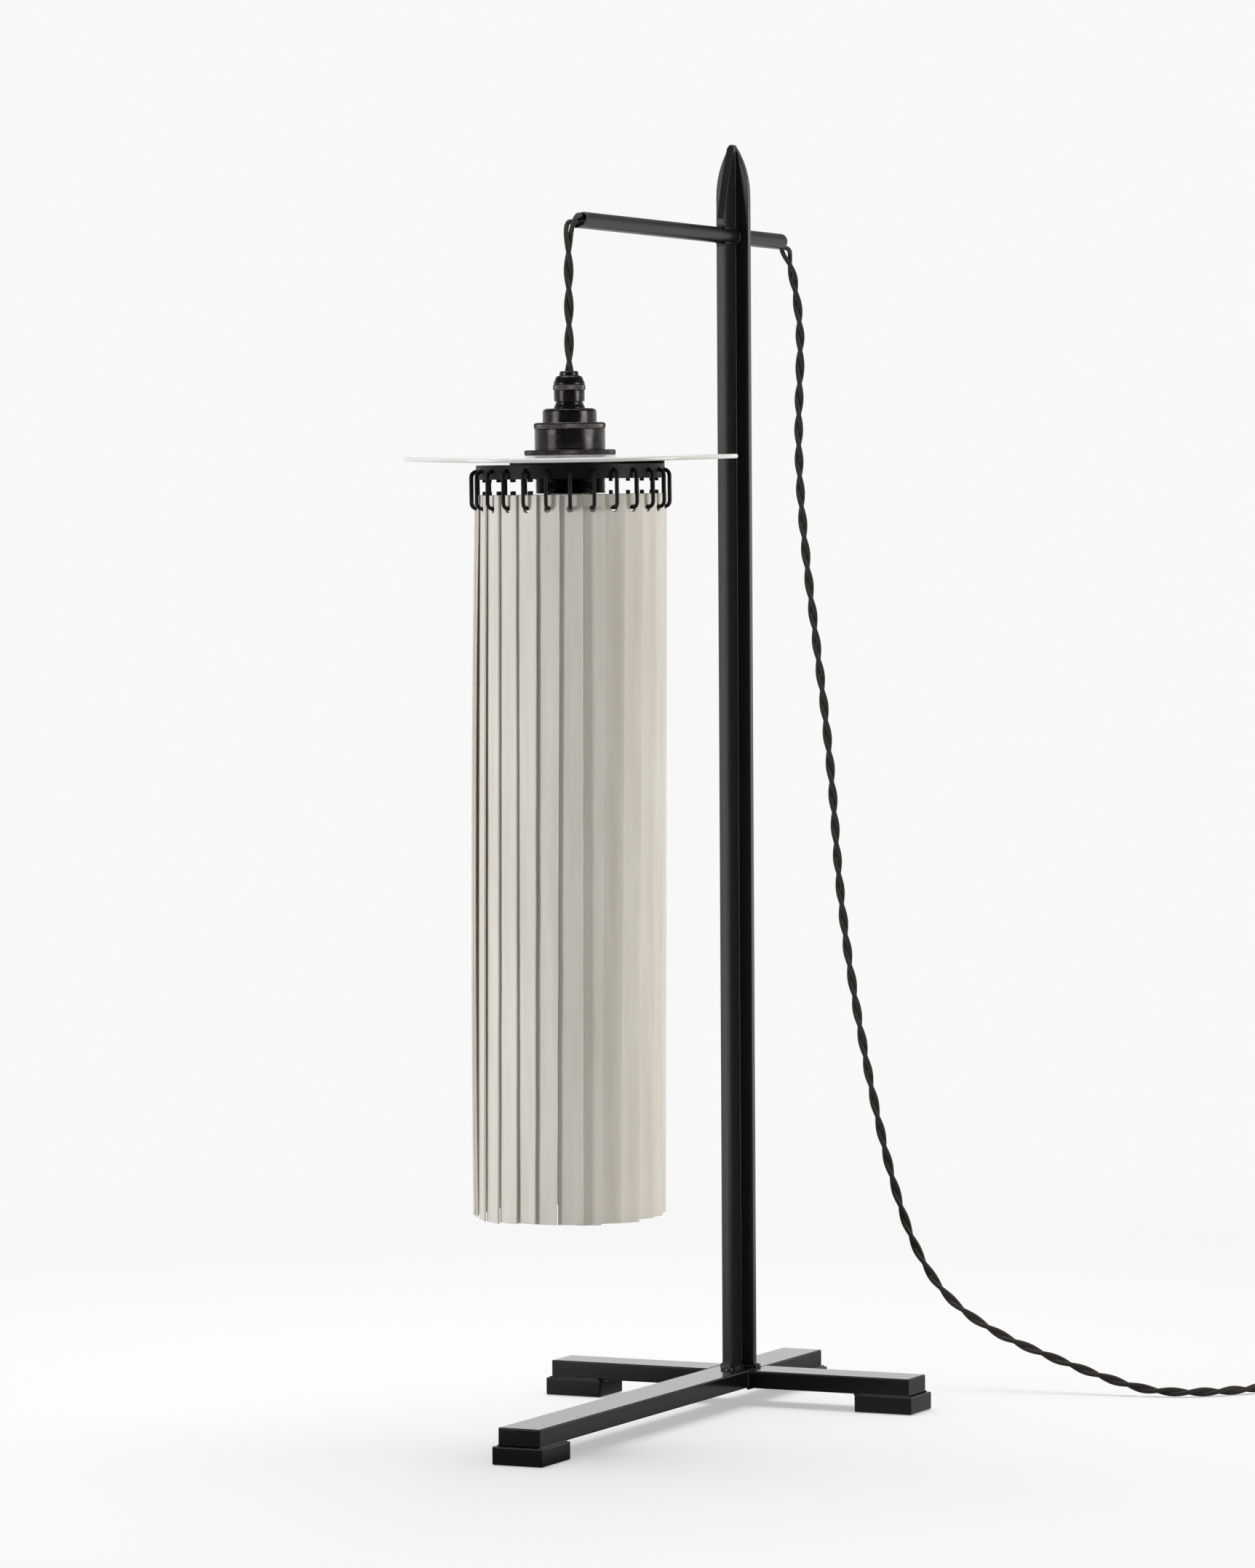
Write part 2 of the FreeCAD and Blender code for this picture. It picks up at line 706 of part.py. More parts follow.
def make_carrier():
    """Band drilled for the links, and the spoked hub that carries it under the disc."""
    outer = s.band_diameter / 2
    inner = outer - s.band_wall
    band = turned("carrier_band", [
        (inner, band_foot), (outer, band_foot), (outer, spider_foot), (inner, spider_foot),
    ])
    hole = new_sketch(band, "XZ_Plane")
    draw_circle(hole, ZERO, link_top, s.wire_diameter / 2 + s.band_hole_gap)
    drilled = band.newObject("PartDesign::Pocket", "band_hole")
    drilled.Profile = hole
    drilled.Type = "Length"
    drilled.setExpression("Length", (outer + OVER).text)
    ring = band.newObject("PartDesign::PolarPattern", "band_holes")
    ring.Originals = [drilled]
    ring.Axis = (hole, ["V_Axis"])
    ring.Angle = 360
    ring.setExpression("Occurrences", s.strip_count.text)
    band.Tip = ring
    place(band, ZERO, hang_y, ZERO, float(s.first_azimuth))

    hub = doc.addObject("Part::Cylinder", "spider_hub")
    hub.setExpression("Radius", (s.hub_diameter / 2).text)
    hub.setExpression("Height", (s.spider_thickness + s.hub_height).text)
    rim = doc.addObject("Part::Cylinder", "spider_rim")
    rim.setExpression("Radius", outer.text)
    rim.setExpression("Height", s.spider_thickness.text)
    spokes = []
    half = s.spoke_width / 2
    for number in range(int(float(s.spoke_count))):
        turn = 360 * number / float(s.spoke_count)
        angle = math.radians(turn)
        spoke = doc.addObject("Part::Box", f"spoke_{number + 1}")
        spoke.setExpression("Length", outer.text)
        spoke.setExpression("Width", s.spoke_width.text)
        spoke.setExpression("Height", s.spider_thickness.text)
        spokes.append(place(spoke, half * math.sin(angle), -half * math.cos(angle), ZERO, turn))
    star = doc.addObject("Part::MultiFuse", "spider_star")
    star.Shapes = spokes
    trimmed = doc.addObject("Part::Common", "spider_trimmed")
    trimmed.Base, trimmed.Tool = star, rim
    plate = doc.addObject("Part::Fuse", "spider_plate")
    plate.Base, plate.Tool = trimmed, hub
    bore = doc.addObject("Part::Cylinder", "spider_bore")
    bore.setExpression("Radius", (thread_radius + s.thread_gap).text)
    bore.setExpression("Height", (s.spider_thickness + s.hub_height).text)
    spider = doc.addObject("Part::Cut", "carrier_spider")
    spider.Base, spider.Tool = plate, bore
    node("carrier_spider", place(spider, ZERO, hang_y, spider_foot, float(s.spoke_azimuth) - 90))


# The strips' middles lie on the middle of the band's wall
strip_ring = s.band_diameter / 2 - s.band_wall / 2


def azimuths():
    count = int(SIZES["strip_count"])
    return [float(s.first_azimuth) + 360 * i / count for i in range(count)]


def make_links():
    """Open wire links: out through the band, down outside, and back in through the strip's hole."""
    out, inside = float(strip_ring + s.link_out), float(strip_ring - s.link_in)
    top, foot = float(link_top), float(link_foot)
    bend, inner = float(s.link_bend), float(s.link_inner_bend)
    upper_end = Vector(0, -inside, top - float(s.upper_stub))
    lower_end = Vector(0, -inside, foot + float(s.lower_stub))
    turns = [
        (Vector(0, -inside, top - inner), Vector(0, 0, 1), Vector(0, -inside - inner, top)),
        (Vector(0, -out + bend, top), Vector(0, -1, 0), Vector(0, -out, top - bend)),
        (Vector(0, -out, foot + bend), Vector(0, 0, -1), Vector(0, -out + bend, foot)),
        (Vector(0, -inside - inner, foot), Vector(0, 1, 0), Vector(0, -inside, foot + inner)),
    ]
    edges, here = [], upper_end
    for start, heading, end in turns:
        edges.append(Part.LineSegment(here, start).toShape())
        edges.append(arc_edge(start, heading, end))
        here = end
    edges.append(Part.LineSegment(here, lower_end).toShape())
    link = pipe(Part.Wire(edges), float(s.wire_diameter))
    links = []
    for azimuth in azimuths():
        copy = link.copy()
        copy.Placement = Placement(Vector(0, float(hang_y), 0), Rotation(Vector(0, 0, 1), azimuth))
        links.append(copy)
    shaped("wire_links", Part.makeCompound(links))


def make_strips():
    """Flat strips, each turned a little so that its right edge lies over the next one's left edge."""
    hole_radius = s.strip_hole / 2
    hole_drop = hole_radius - s.wire_diameter / 2 - s.hang_gap
    head = s.strip_above_hole - hole_drop
    foot = head - s.strip_length
    half, corner = s.strip_width / 2, s.strip_corner
    outline = [
        (-half + corner, foot), (half - corner, foot, corner), (half, foot + corner),
        (half, head - corner, corner), (half - corner, head), (-half + corner, head, corner),
        (-half, head - corner), (-half, foot + corner, corner),
    ]
    for number, azimuth in enumerate(azimuths(), 1):
        body = new_body(f"strip_{number:02d}")
        sketch = new_sketch(body, "XZ_Plane")
        draw(sketch, outline)
        draw_circle(sketch, ZERO, -hole_drop, hole_radius)
        pad(body, sketch, s.strip_thickness, both_ways=True)
        angle = math.radians(azimuth)
        place(
            body, strip_ring * math.sin(angle), hang_y - strip_ring * math.cos(angle), link_foot,
            azimuth - float(s.shingle_angle),
        )
        node(f"strip_{number:02d}", body)


def route_point(point):
    """A point of the route; its height above the floor's level grows with the arm's."""
    low = float(cord_radius)
    stretch = (float(cord_axis_z) - low) / (TAIL_ROUTE[0][2] - low)
    return Vector(point[0], point[1] + float(cross_y + s.arm_rear), low + (point[2] - low) * stretch)


def flat_heading(start, end):
    return Vector(end.x - start.x, end.y - start.y, 0).normalize()


def make_tail():
    path = rounded_path([route_point(p) for p in TAIL_ROUTE], "cord_tail")
    shaped("cord_tail", pipe(path, float(s.cord_diameter)))
    print(f"cord_tail length {path.Length:.0f}")


# The switch lies in line with the end of the tail
switch_start = route_point(TAIL_ROUTE[-1])
switch_heading = flat_heading(route_point(TAIL_ROUTE[-2]), switch_start)
switch_turn = math.degrees(math.atan2(switch_heading.y, switch_heading.x))
switch_middle = switch_start + switch_heading * (float(s.switch_length) / 2)
switch_middle.z = 0


def make_switch():
    long_half, wide_half = s.switch_length / 2, s.switch_width / 2
    tall, rounding = s.switch_half_height, s.switch_round
    outline = [
        (-long_half + rounding, -wide_half), (long_half - rounding, -wide_half, rounding),
        (long_half, -wide_half + rounding), (long_half, wide_half - rounding, rounding),
        (long_half - rounding, wide_half), (-long_half + rounding, wide_half, rounding),
        (-long_half, wide_half - rounding), (-long_half, -wide_half + rounding, rounding),
    ]
    x, y = switch_middle.x, switch_middle.y
    base = new_body("switch_base")
    sketch = new_sketch(base, "XY_Plane")
    draw(sketch, outline)
    pad(base, sketch, tall)
    node("switch_base", place(base, x, y, ZERO, switch_turn))
    cover = new_body("switch_cover")
    sketch = new_sketch(cover, "XY_Plane")
    draw(sketch, outline)
    shell = pad(cover, sketch, tall)
    doc.recompute()
    crown = cover.newObject("PartDesign::Fillet", "switch_crown")
    top_face = max(range(len(shell.Shape.Faces)), key=lambda i: shell.Shape.Faces[i].CenterOfMass.z)
    crown.Base = (shell, [f"Face{top_face + 1}"])
    crown.setExpression("Radius", (rounding * 0.8).text)
    window = new_sketch(cover, "XY_Plane")
    reach_x = s.rocker_length / 2 + s.rocker_gap
    reach_y = s.rocker_width / 2 + s.cord_gap
    draw(window, [(-reach_x, -reach_y), (reach_x, -reach_y), (reach_x, reach_y), (-reach_x, reach_y)])
    pocket_through(cover, window)
    node("switch_cover", place(cover, x, y, tall, switch_turn))
    rocker = new_body("switch_rocker")
    side = new_sketch(rocker, "XZ_Plane")
    length, rise, depth = s.rocker_length / 2, s.rocker_rise, s.rocker_depth
    top = tall * 2 - s.rocker_pivot_height
    draw(side, [
        (-length, -depth), (length, -depth), (length, top + rise), (ZERO, top), (-length, top + rise),
    ])
    pad(rocker, side, s.rocker_width, both_ways=True)
    tilt = Rotation(Vector(0, 0, 1), switch_turn) * Rotation(Vector(0, 1, 0), float(s.rocker_tilt))
    place(rocker, x, y, s.rocker_pivot_height)
    rocker.Placement = Placement(rocker.Placement.Base, tilt)
    node("switch_rocker", rocker)


# The coil starts past the switch, winds in, climbs a layer and winds out again to the plug
coil_start = switch_start + switch_heading * float(s.switch_length + s.coil_lead)
coil_right = Vector(switch_heading.y, -switch_heading.x, 0)
coil_centre = coil_start + coil_right * float(s.coil_radius)
coil_low = float(cord_radius + s.tie_thickness + s.tie_gap)
COIL_TURNS = 4
CLIMB_TURNS = 0.5
QUARTER = math.pi / 2


def smooth(share):
    share = min(max(share, 0.0), 1.0)
    return share * share * (3 - 2 * share)


def coil_sweep():
    """The angle that the coil turns through, so that it ends heading along -Y."""
    first = math.atan2(-coil_right.y, -coil_right.x)
    return first, first % (2 * math.pi) + COIL_TURNS * 2 * math.pi


def coil_point(turned_by):
    """A point of the coil after it has turned clockwise by an angle."""
    first, sweep = coil_sweep()
    wound = turned_by / (2 * math.pi)
    whole = sweep / (2 * math.pi)
    one_way = (whole - CLIMB_TURNS) / 2
    in_by = min(wound, one_way) - max(wound - one_way - CLIMB_TURNS, 0)
    middle = (wound - one_way) / CLIMB_TURNS
    radius = float(s.coil_radius) - float(s.coil_step) * in_by
    height = coil_low + float(s.coil_layer) * smooth(middle)
    angle = first - turned_by
    return Vector(coil_centre.x + radius * math.cos(angle), coil_centre.y + radius * math.sin(angle), height)


def biarc(start, heading, end, end_heading):
    """Two arcs that leave start along heading and reach end along end_heading."""
    across = end - start
    both = heading + end_heading
    a = 2 * (heading.dot(end_heading) - 1)
    b = -2 * across.dot(both)
    c = across.dot(across)
    if abs(a) < 1e-9:
        reach = -c / b
    else:
        reach = (-b - math.sqrt(b * b - 4 * a * c)) / (2 * a)
    middle = (start + end + (heading - end_heading) * reach) * 0.5
    last = arc_edge(end, end_heading * -1, middle)
    return [arc_edge(start, heading, middle), last]


def coil_stations():
    """Points of the coil every quarter turn with their headings, and the lead to the plug."""
    _, sweep = coil_sweep()
    count = math.ceil(sweep / QUARTER)
    small = 1e-4
    leave = switch_start + switch_heading * float(s.switch_length)
    straight = switch_heading * float(s.cord_diameter)
    stations = [(leave, switch_heading), (leave + straight, switch_heading)]
    for i in range(count + 1):
        turned_by = sweep * i / count
        ahead = coil_point(turned_by + small) - coil_point(turned_by - small)
        heading = switch_heading if i == 0 else ahead.normalize()
        if i == count:
            heading = Vector(0, -1, 0)
        stations.append((coil_point(turned_by), heading))
    return stations


def make_coil():
    stations = coil_stations()
    end = stations[-1][0]
    plug_z = float(s.plug_thickness) / 2
    lead = float(s.plug_lead)
    straight = float(s.cord_diameter)
    down = Vector(end.x, end.y - lead, plug_z)
    stations.append((down, Vector(0, -1, 0)))
    edges = []
    for (start, heading), (finish, finish_heading) in zip(stations, stations[1:]):
        edges += biarc(start, heading, finish, finish_heading)
    last = down + Vector(0, -straight, 0)
    edges.append(Part.LineSegment(down, last).toShape())
    path = Part.Wire(Part.__sortEdges__(edges))
    shaped("cord_coil", pipe(path, float(s.cord_diameter)))
    print(f"cord_coil length {path.Length:.0f}, least gap to itself {self_gap(path):.2f}")
    return last


def self_gap(path):
    """Least clear distance between parts of a tube that are not next to each other along it."""
    spacing = 1.5
    points = path.discretize(Distance=spacing)
    apart = int(3 * float(s.cord_diameter) / spacing)
    least = min(
        points[i].distanceToPoint(points[j])
        for i in range(len(points)) for j in range(i + apart, len(points))
    )
    return least - float(s.cord_diameter)


def make_tie():
    """A band round all the turns of the coil, on its far side."""
    _, sweep = coil_sweep()
    one_way = (sweep / (2 * math.pi) - CLIMB_TURNS) / 2
    outer = s.coil_radius + cord_radius + s.tie_gap
    inner = s.coil_radius - s.coil_step * one_way - cord_radius - s.tie_gap * 2
    wide, tall = outer - inner, s.coil_layer + s.cord_diameter + s.tie_gap * 2
    body = new_body("cord_tie")
    sketch = new_sketch(body, "XZ_Plane")
    for grow in (ZERO, s.tie_thickness):
        rounding = s.tie_round + grow
        half, low, high = wide / 2 + grow, s.tie_thickness - grow, tall + s.tie_thickness + grow
        draw(sketch, [
            (-half + rounding, low), (half - rounding, low, rounding), (half, low + rounding),
            (half, high - rounding, rounding), (half - rounding, high), (-half + rounding, high, rounding),
            (-half, high - rounding), (-half, low + rounding, rounding),
        ])
    pad(body, sketch, s.tie_width, both_ways=True)
    middle = float(inner + outer) / 2
    away = Vector(coil_centre.x, coil_centre.y + middle, 0)
    node("cord_tie", place(body, away.x, away.y, ZERO, 90))


def make_plug(cord_end):
    """Flat two-pin plug lying on the floor, its tapered sleeve meeting the cord."""
    half, waist, middle = s.plug_width / 2, s.plug_waist / 2, s.plug_thickness / 2
    face = -s.plug_length - s.sleeve_length
    body = new_body("plug_shell")
    sketch = new_sketch(body, "XY_Plane")
    draw(sketch, [
        (-half, face), (half, face), (half, face + s.plug_shoulder), (waist, -s.sleeve_length),
        (-waist, -s.sleeve_length), (-half, face + s.plug_shoulder),
    ])
    shell = pad(body, sketch, s.plug_thickness)
    soften(body, shell, s.plug_round)
    sleeve = doc.addObject("Part::Cone", "plug_sleeve")
    overlap = s.plug_round * 2
    sleeve.setExpression("Radius1", (s.sleeve_end / 2).text)
    sleeve.setExpression("Radius2", (s.sleeve_root / 2).text)
    sleeve.setExpression("Height", (s.sleeve_length + overlap).text)
    place(sleeve, ZERO, ZERO, middle, 90, Vector(1, 0, 0))
    plug = doc.addObject("Part::Fuse", "plug_body")
    plug.Base, plug.Tool = body, sleeve
    node("plug_body", place(plug, cord_end.x, cord_end.y))
    radius, long = s.pin_diameter / 2, s.pin_length
    pins = []
    for name, side in (("pin_left", -s.pin_spacing / 2), ("pin_right", s.pin_spacing / 2)):
        pin = new_body(name)
        sketch = new_sketch(pin, "XZ_Plane")
        draw(sketch, [
            (ZERO, ZERO), (radius, ZERO), (radius, long - radius, radius), (ZERO, long),
        ])
        feature = pin.newObject("PartDesign::Revolution", f"{name}_turn")
        feature.Profile = sketch
        feature.ReferenceAxis = (sketch, ["V_Axis"])
        feature.Angle = 360
        pins.append(place(pin, side + cord_end.x, face + cord_end.y, middle, 90, Vector(1, 0, 0)))
    group = doc.addObject("Part::Compound", "plug_pins")
    group.Links = pins
    node("plug_pins", group)


def check_and_export():
    doc.recompute()
    for item in doc.Objects:
        if any(state in ("Invalid", "Error") for state in item.State):
            raise ValueError(f"{item.Label} failed: {item.State}")
    for label, piece in nodes.items():
        if piece.Shape.isNull() or not piece.Shape.isValid() or not piece.Shape.Solids:
            raise ValueError(f"{label} has no valid solid")
    os.makedirs("parts", exist_ok=True)
    for label, piece in nodes.items():
        piece.Shape.exportStep(f"parts/{label}.step")
    print(len(nodes), "nodes written")


make_base()
make_post()
make_arm()
make_arm_cord()
bight_centre, hang_centre = make_hanging_cord()
make_gland()
make_holder()
make_socket_and_bulb()
make_disc()
make_carrier()
make_links()
make_strips()
make_tail()
make_switch()
cord_end = make_coil()
make_tie()
make_plug(cord_end)
check_and_export()
print(f"cross y {float(cross_y):.3f}, hang y {float(hang_y):.3f}")
print(f"turning points: bight {float(bight_centre):.3f}, hanging cord {float(hang_centre):.3f}")
print(f"strip ring {float(strip_ring):.3f}, strip pivot z {float(link_foot):.3f}")
print(f"rocker pivot {switch_middle.x:.3f} {switch_middle.y:.3f}, heading {switch_turn:.3f}")
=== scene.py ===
import bpy
import bmesh
import math
import random
from functools import partial
from mathutils import Matrix, Vector


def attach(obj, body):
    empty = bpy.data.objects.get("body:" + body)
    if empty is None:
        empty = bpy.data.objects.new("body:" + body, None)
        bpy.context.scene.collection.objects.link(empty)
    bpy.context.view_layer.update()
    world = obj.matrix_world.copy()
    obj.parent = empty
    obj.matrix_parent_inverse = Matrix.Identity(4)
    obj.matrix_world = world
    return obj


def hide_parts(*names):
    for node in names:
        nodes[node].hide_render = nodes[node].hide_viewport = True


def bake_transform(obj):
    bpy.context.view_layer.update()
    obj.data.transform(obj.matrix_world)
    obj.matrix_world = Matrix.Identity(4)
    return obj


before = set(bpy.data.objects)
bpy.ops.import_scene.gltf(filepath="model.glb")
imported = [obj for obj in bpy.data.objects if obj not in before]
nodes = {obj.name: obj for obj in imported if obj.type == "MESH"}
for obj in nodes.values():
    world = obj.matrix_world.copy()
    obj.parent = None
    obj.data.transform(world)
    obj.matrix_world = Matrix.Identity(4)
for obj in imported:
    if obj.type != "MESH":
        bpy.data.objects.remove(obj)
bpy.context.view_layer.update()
mm = 0.001
crossY = 0.1035  # middle of the base cross
hangY = -0.108  # axis of the hanging shade
stage = bpy.context.scene
# the holder hangs a little forward, held by the bend of its stiff cord
shadeHang = {"turn": 0.925, "height": 0.565}
shadePoint = Vector((0, hangY, shadeHang["height"]))
shadeTilt = Matrix.Translation(shadePoint) @ Matrix.Rotation(math.radians(shadeHang["turn"]), 4, "X")
shadeTilt = shadeTilt @ Matrix.Translation(-shadePoint)
print("frame loaded", len(nodes), "nodes")


# small helpers

def newObject(name, data):
    piece = bpy.data.objects.new(name, data)
    stage.collection.objects.link(piece)
    return piece


def workOn(mesh):
    work = bmesh.new()
    work.from_mesh(mesh)
    return work


def keep(work, mesh):
    work.to_mesh(mesh)
    work.free()
    return mesh


def finishMesh(name, mesh, sharpAngle):
    mesh.name = name
    mesh.polygons.foreach_set("use_smooth", [True] * len(mesh.polygons))
    mesh.set_sharp_from_angle(angle=math.radians(sharpAngle))
    return mesh


def finishPiece(name, mesh, sharpAngle):
    return newObject(name, finishMesh(name, mesh, sharpAngle))


def cleanMesh(mesh, near=1e-6):
    work = workOn(mesh)
    bmesh.ops.remove_doubles(work, verts=work.verts, dist=near)
    bmesh.ops.dissolve_degenerate(work, edges=work.edges, dist=near)
    bmesh.ops.recalc_face_normals(work, faces=work.faces)
    return keep(work, mesh)


def paint(piece, material):
    piece.data.materials.clear()
    piece.data.materials.append(material)


def settle(piece, body, slot, *replaced):
    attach(piece, body)
    if replaced:
        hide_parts(*replaced)


def evaluated(piece):
    graph = bpy.context.evaluated_depsgraph_get()
    return bpy.data.meshes.new_from_object(piece.evaluated_get(graph), depsgraph=graph)


def soften(helper, width, segments, angle):
    soft = helper.modifiers.new("edge", "BEVEL")
    soft.width = width
    soft.segments = segments
    soft.limit_method = "ANGLE"
    soft.angle_limit = math.radians(angle)


def newCurve(name):
    curve = bpy.data.curves.new(name, "CURVE")
    curve.dimensions = "3D"
    return curve


def addRun(curve, points, kind="POLY"):
    spline = curve.splines.new(kind)
    spline.points.add(len(points) - 1)
    for knot, point in zip(spline.points, points):
        knot.co = (*point, 1)
    return spline


def smoothStep(share):
    share = min(max(share, 0.0), 1.0)
    return share * share * (3 - 2 * share)


# node tree helpers, for materials and for geometry

def put(tree, kind, inputs=None, **settings):
    made = tree.nodes.new(kind)
    for key, value in settings.items():
        setattr(made, key, value)
    for key, value in (inputs or {}).items():
        if isinstance(value, bpy.types.NodeSocket):
            tree.links.new(value, made.inputs[key])
        else:
            made.inputs[key].default_value = value
    return made


def calc(tree, operation, *values):
    return put(tree, "ShaderNodeMath", dict(enumerate(values)), operation=operation).outputs[0]


def arithmetic(tree):
    # times, plus and minus for the values of one tree
    return [partial(calc, tree, operation) for operation in ("MULTIPLY", "ADD", "SUBTRACT")]


def vectorCalc(tree, operation, inputs, result=0):
    return put(tree, "ShaderNodeVectorMath", inputs, operation=operation).outputs[result]


def joined(tree, x=0.0, y=0.0, z=0.0):
    return put(tree, "ShaderNodeCombineXYZ", {0: x, 1: y, 2: z}).outputs[0]


def parted(tree, vector):
    return put(tree, "ShaderNodeSeparateXYZ", {0: vector}).outputs


def ramp(tree, value, start, stop, low=0.0, high=1.0):
    # low up to start, high from stop on, and even in between
    return put(tree, "ShaderNodeMapRange", {"Value": value, "From Min": start, "From Max": stop,
                                            "To Min": low, "To Max": high}).outputs[0]


def shape(tree, kind, inputs=None, **settings):
    # what a geometry node makes, or the field that it reads
    return put(tree, "GeometryNode" + kind, inputs, **settings).outputs[0]


def newTree(name, sizes):
    tree = bpy.data.node_groups.new(name, "GeometryNodeTree")
    face = tree.interface
    face.new_socket("Geometry", in_out="INPUT", socket_type="NodeSocketGeometry")
    for label, value in sizes.items():
        kind = "NodeSocketInt" if isinstance(value, int) else "NodeSocketFloat"
        face.new_socket(label, in_out="INPUT", socket_type=kind).default_value = value
    face.new_socket("Material", in_out="INPUT", socket_type="NodeSocketMaterial")
    face.new_socket("Geometry", in_out="OUTPUT", socket_type="NodeSocketGeometry")
    return tree, tree.nodes.new("NodeGroupInput"), tree.nodes.new("NodeGroupOutput")


def closeTree(tree, start, end, geometry):
    whole = shape(tree, "RealizeInstances", {"Geometry": geometry})
    painted = shape(tree, "SetMaterial", {"Geometry": whole, "Material": start.outputs["Material"]})
    tree.links.new(painted, end.inputs[0])


def grow(name, data, tree, material, sizes, edge=None):
    # runs a tree on a curve or mesh and gives the plain mesh
    helper = newObject(name + "Helper", data)
    modifier = helper.modifiers.new("shape", "NODES")
    modifier.node_group = tree
    values = dict(sizes, Material=material)
    for socket in tree.interface.items_tree:
        if socket.in_out == "INPUT" and socket.name in values:
            modifier[socket.identifier] = values[socket.name]
    if edge:
        soften(helper, edge, 4, 40)
    mesh = evaluated(helper)
    bpy.data.objects.remove(helper)
    return mesh


# materials

def newMaterial(name, colour, roughness, metallic=0.0, specular=0.5):
    material = bpy.data.materials.new(name)
    material.use_nodes = True
    tree = material.node_tree
    shader = tree.nodes["Principled BSDF"]
    adjust(shader, {"Base Color": (*colour, 1), "Roughness": roughness, "Metallic": metallic,
                    "Specular IOR Level": specular})
    return material, tree, shader


def adjust(shader, values):
    for key, value in values.items():
        shader.inputs[key].default_value = value


def grain(tree, scale, detail, stretch=None):
    spot = put(tree, "ShaderNodeTexCoord").outputs["Object"]
    if stretch:
        spot = put(tree, "ShaderNodeMapping", {"Vector": spot, "Scale": stretch}).outputs[0]
    noise = put(tree, "ShaderNodeTexNoise", {"Vector": spot, "Scale": scale, "Detail": detail})
    return noise.outputs["Fac"]


def tint(tree, shader, source, low, high, start=0.35, stop=0.65):
    colours = put(tree, "ShaderNodeValToRGB", {"Fac": source})
    first, last = colours.color_ramp.elements
    first.position, last.position = start, stop
    first.color, last.color = (*low, 1), (*high, 1)
    tree.links.new(colours.outputs[0], shader.inputs["Base Color"])


def roughen(tree, shader, source, low, high):
    tree.links.new(ramp(tree, source, 0.3, 0.7, low, high), shader.inputs["Roughness"])


def emboss(tree, shader, source, strength, distance):
    bump = put(tree, "ShaderNodeBump", {"Height": source, "Strength": strength, "Distance": distance})
    tree.links.new(bump.outputs[0], shader.inputs["Normal"])


steelFinishes = {
    "satinBlackSteel": {"low": (0.0135, 0.013, 0.013), "high": (0.0165, 0.016, 0.016),
                        "rough": (0.23, 0.25), "specular": 0.3, "coat": 0.9},
    # the base bars and feet wear the post's own paint, here darker in colour as painted shade, with a
    # weaker sheen
    "shadedBaseSteel": {"low": (0.004, 0.0039, 0.0039), "high": (0.0055, 0.0053, 0.0053),
                       "rough": (0.17, 0.19), "specular": 0.28, "coat": 0.8},
    "satinTubeSteel": {"low": (0.0085, 0.008, 0.0076), "high": (0.0115, 0.011, 0.0105),
                       "rough": (0.29, 0.33), "specular": 0.26, "coat": 0.0},
    "blackWire": {"low": (0.0045, 0.0042, 0.004), "high": (0.0065, 0.006, 0.0057),
                  "rough": (0.45, 0.52), "specular": 0.26, "coat": 0.0},
}


def makeSatinSteel(name):
    finish = steelFinishes[name]
    low, high, (smooth, dull) = finish["low"], finish["high"], finish["rough"]
    material, tree, shader = newMaterial(name, low, smooth, 0.0, finish["specular"])
    adjust(shader, {"Coat Weight": finish["coat"], "Coat Roughness": smooth * 0.8, "Coat IOR": 1.25})
    tint(tree, shader, grain(tree, 160, 4), low, high)
    roughen(tree, shader, grain(tree, 240, 3), smooth, dull)
    emboss(tree, shader, grain(tree, 1500, 2), 0.02, 0.0002)
    return material


bronzeFinishes = {
    "blackenedBronze": {"low": (0.027, 0.0245, 0.024), "high": (0.058, 0.053, 0.051)},
    # the next finish is the same blackened brass painted lighter for the knurled cap ring and gland collar:
    # a painted highlight for the light their ridges catch
    "paintedSheenBronze": {"low": (0.06, 0.055, 0.052), "high": (0.115, 0.106, 0.1)},
    "ringBronze": {"low": (0.03, 0.0275, 0.026), "high": (0.058, 0.053, 0.05)},
}


def makeBronze(name):
    low, high = bronzeFinishes[name]["low"], bronzeFinishes[name]["high"]
    material, tree, shader = newMaterial(name, low, 0.2, 0.92)
    tint(tree, shader, grain(tree, 240, 6), low, high, 0.3, 0.7)
    roughen(tree, shader, grain(tree, 330, 5), 0.17, 0.29)
    emboss(tree, shader, grain(tree, 650, 4), 0.05, 0.0002)
    return material


def makeGlaze():
    material, tree, shader = newMaterial("glazedPorcelain", (0.86, 0.855, 0.84), 0.12)
    tint(tree, shader, grain(tree, 30, 3), (0.83, 0.825, 0.81), (0.88, 0.875, 0.86))
    roughen(tree, shader, grain(tree, 90, 3), 0.09, 0.2)
    emboss(tree, shader, grain(tree, 45, 2), 0.06, 0.001)
    adjust(shader, {"Coat Weight": 0.3, "Coat Roughness": 0.06})
    return material


def makeBisque():
    material, tree, shader = newMaterial("barePorcelain", (0.8, 0.78, 0.74), 0.55, 0.0, 0.35)
    streaks = grain(tree, 24, 4, (6, 6, 0.5))
    tint(tree, shader, streaks, (0.77, 0.732, 0.668), (0.845, 0.81, 0.752))
    roughen(tree, shader, grain(tree, 260, 3), 0.42, 0.62)
    emboss(tree, shader, grain(tree, 620, 4), 0.16, 0.0003)
    adjust(shader, {"Subsurface Weight": 0.22, "Subsurface Radius": (1.0, 0.75, 0.45),
                    "Subsurface Scale": 0.0025})
    return material


braidFinishes = {
    "braidedCord": {"low": (0.012, 0.0095, 0.008), "high": (0.07, 0.06, 0.052), "around": 7, "along": 900},
    "strapWeave": {"low": (0.015, 0.015, 0.016), "high": (0.045, 0.045, 0.047), "around": 6, "along": 600},
}


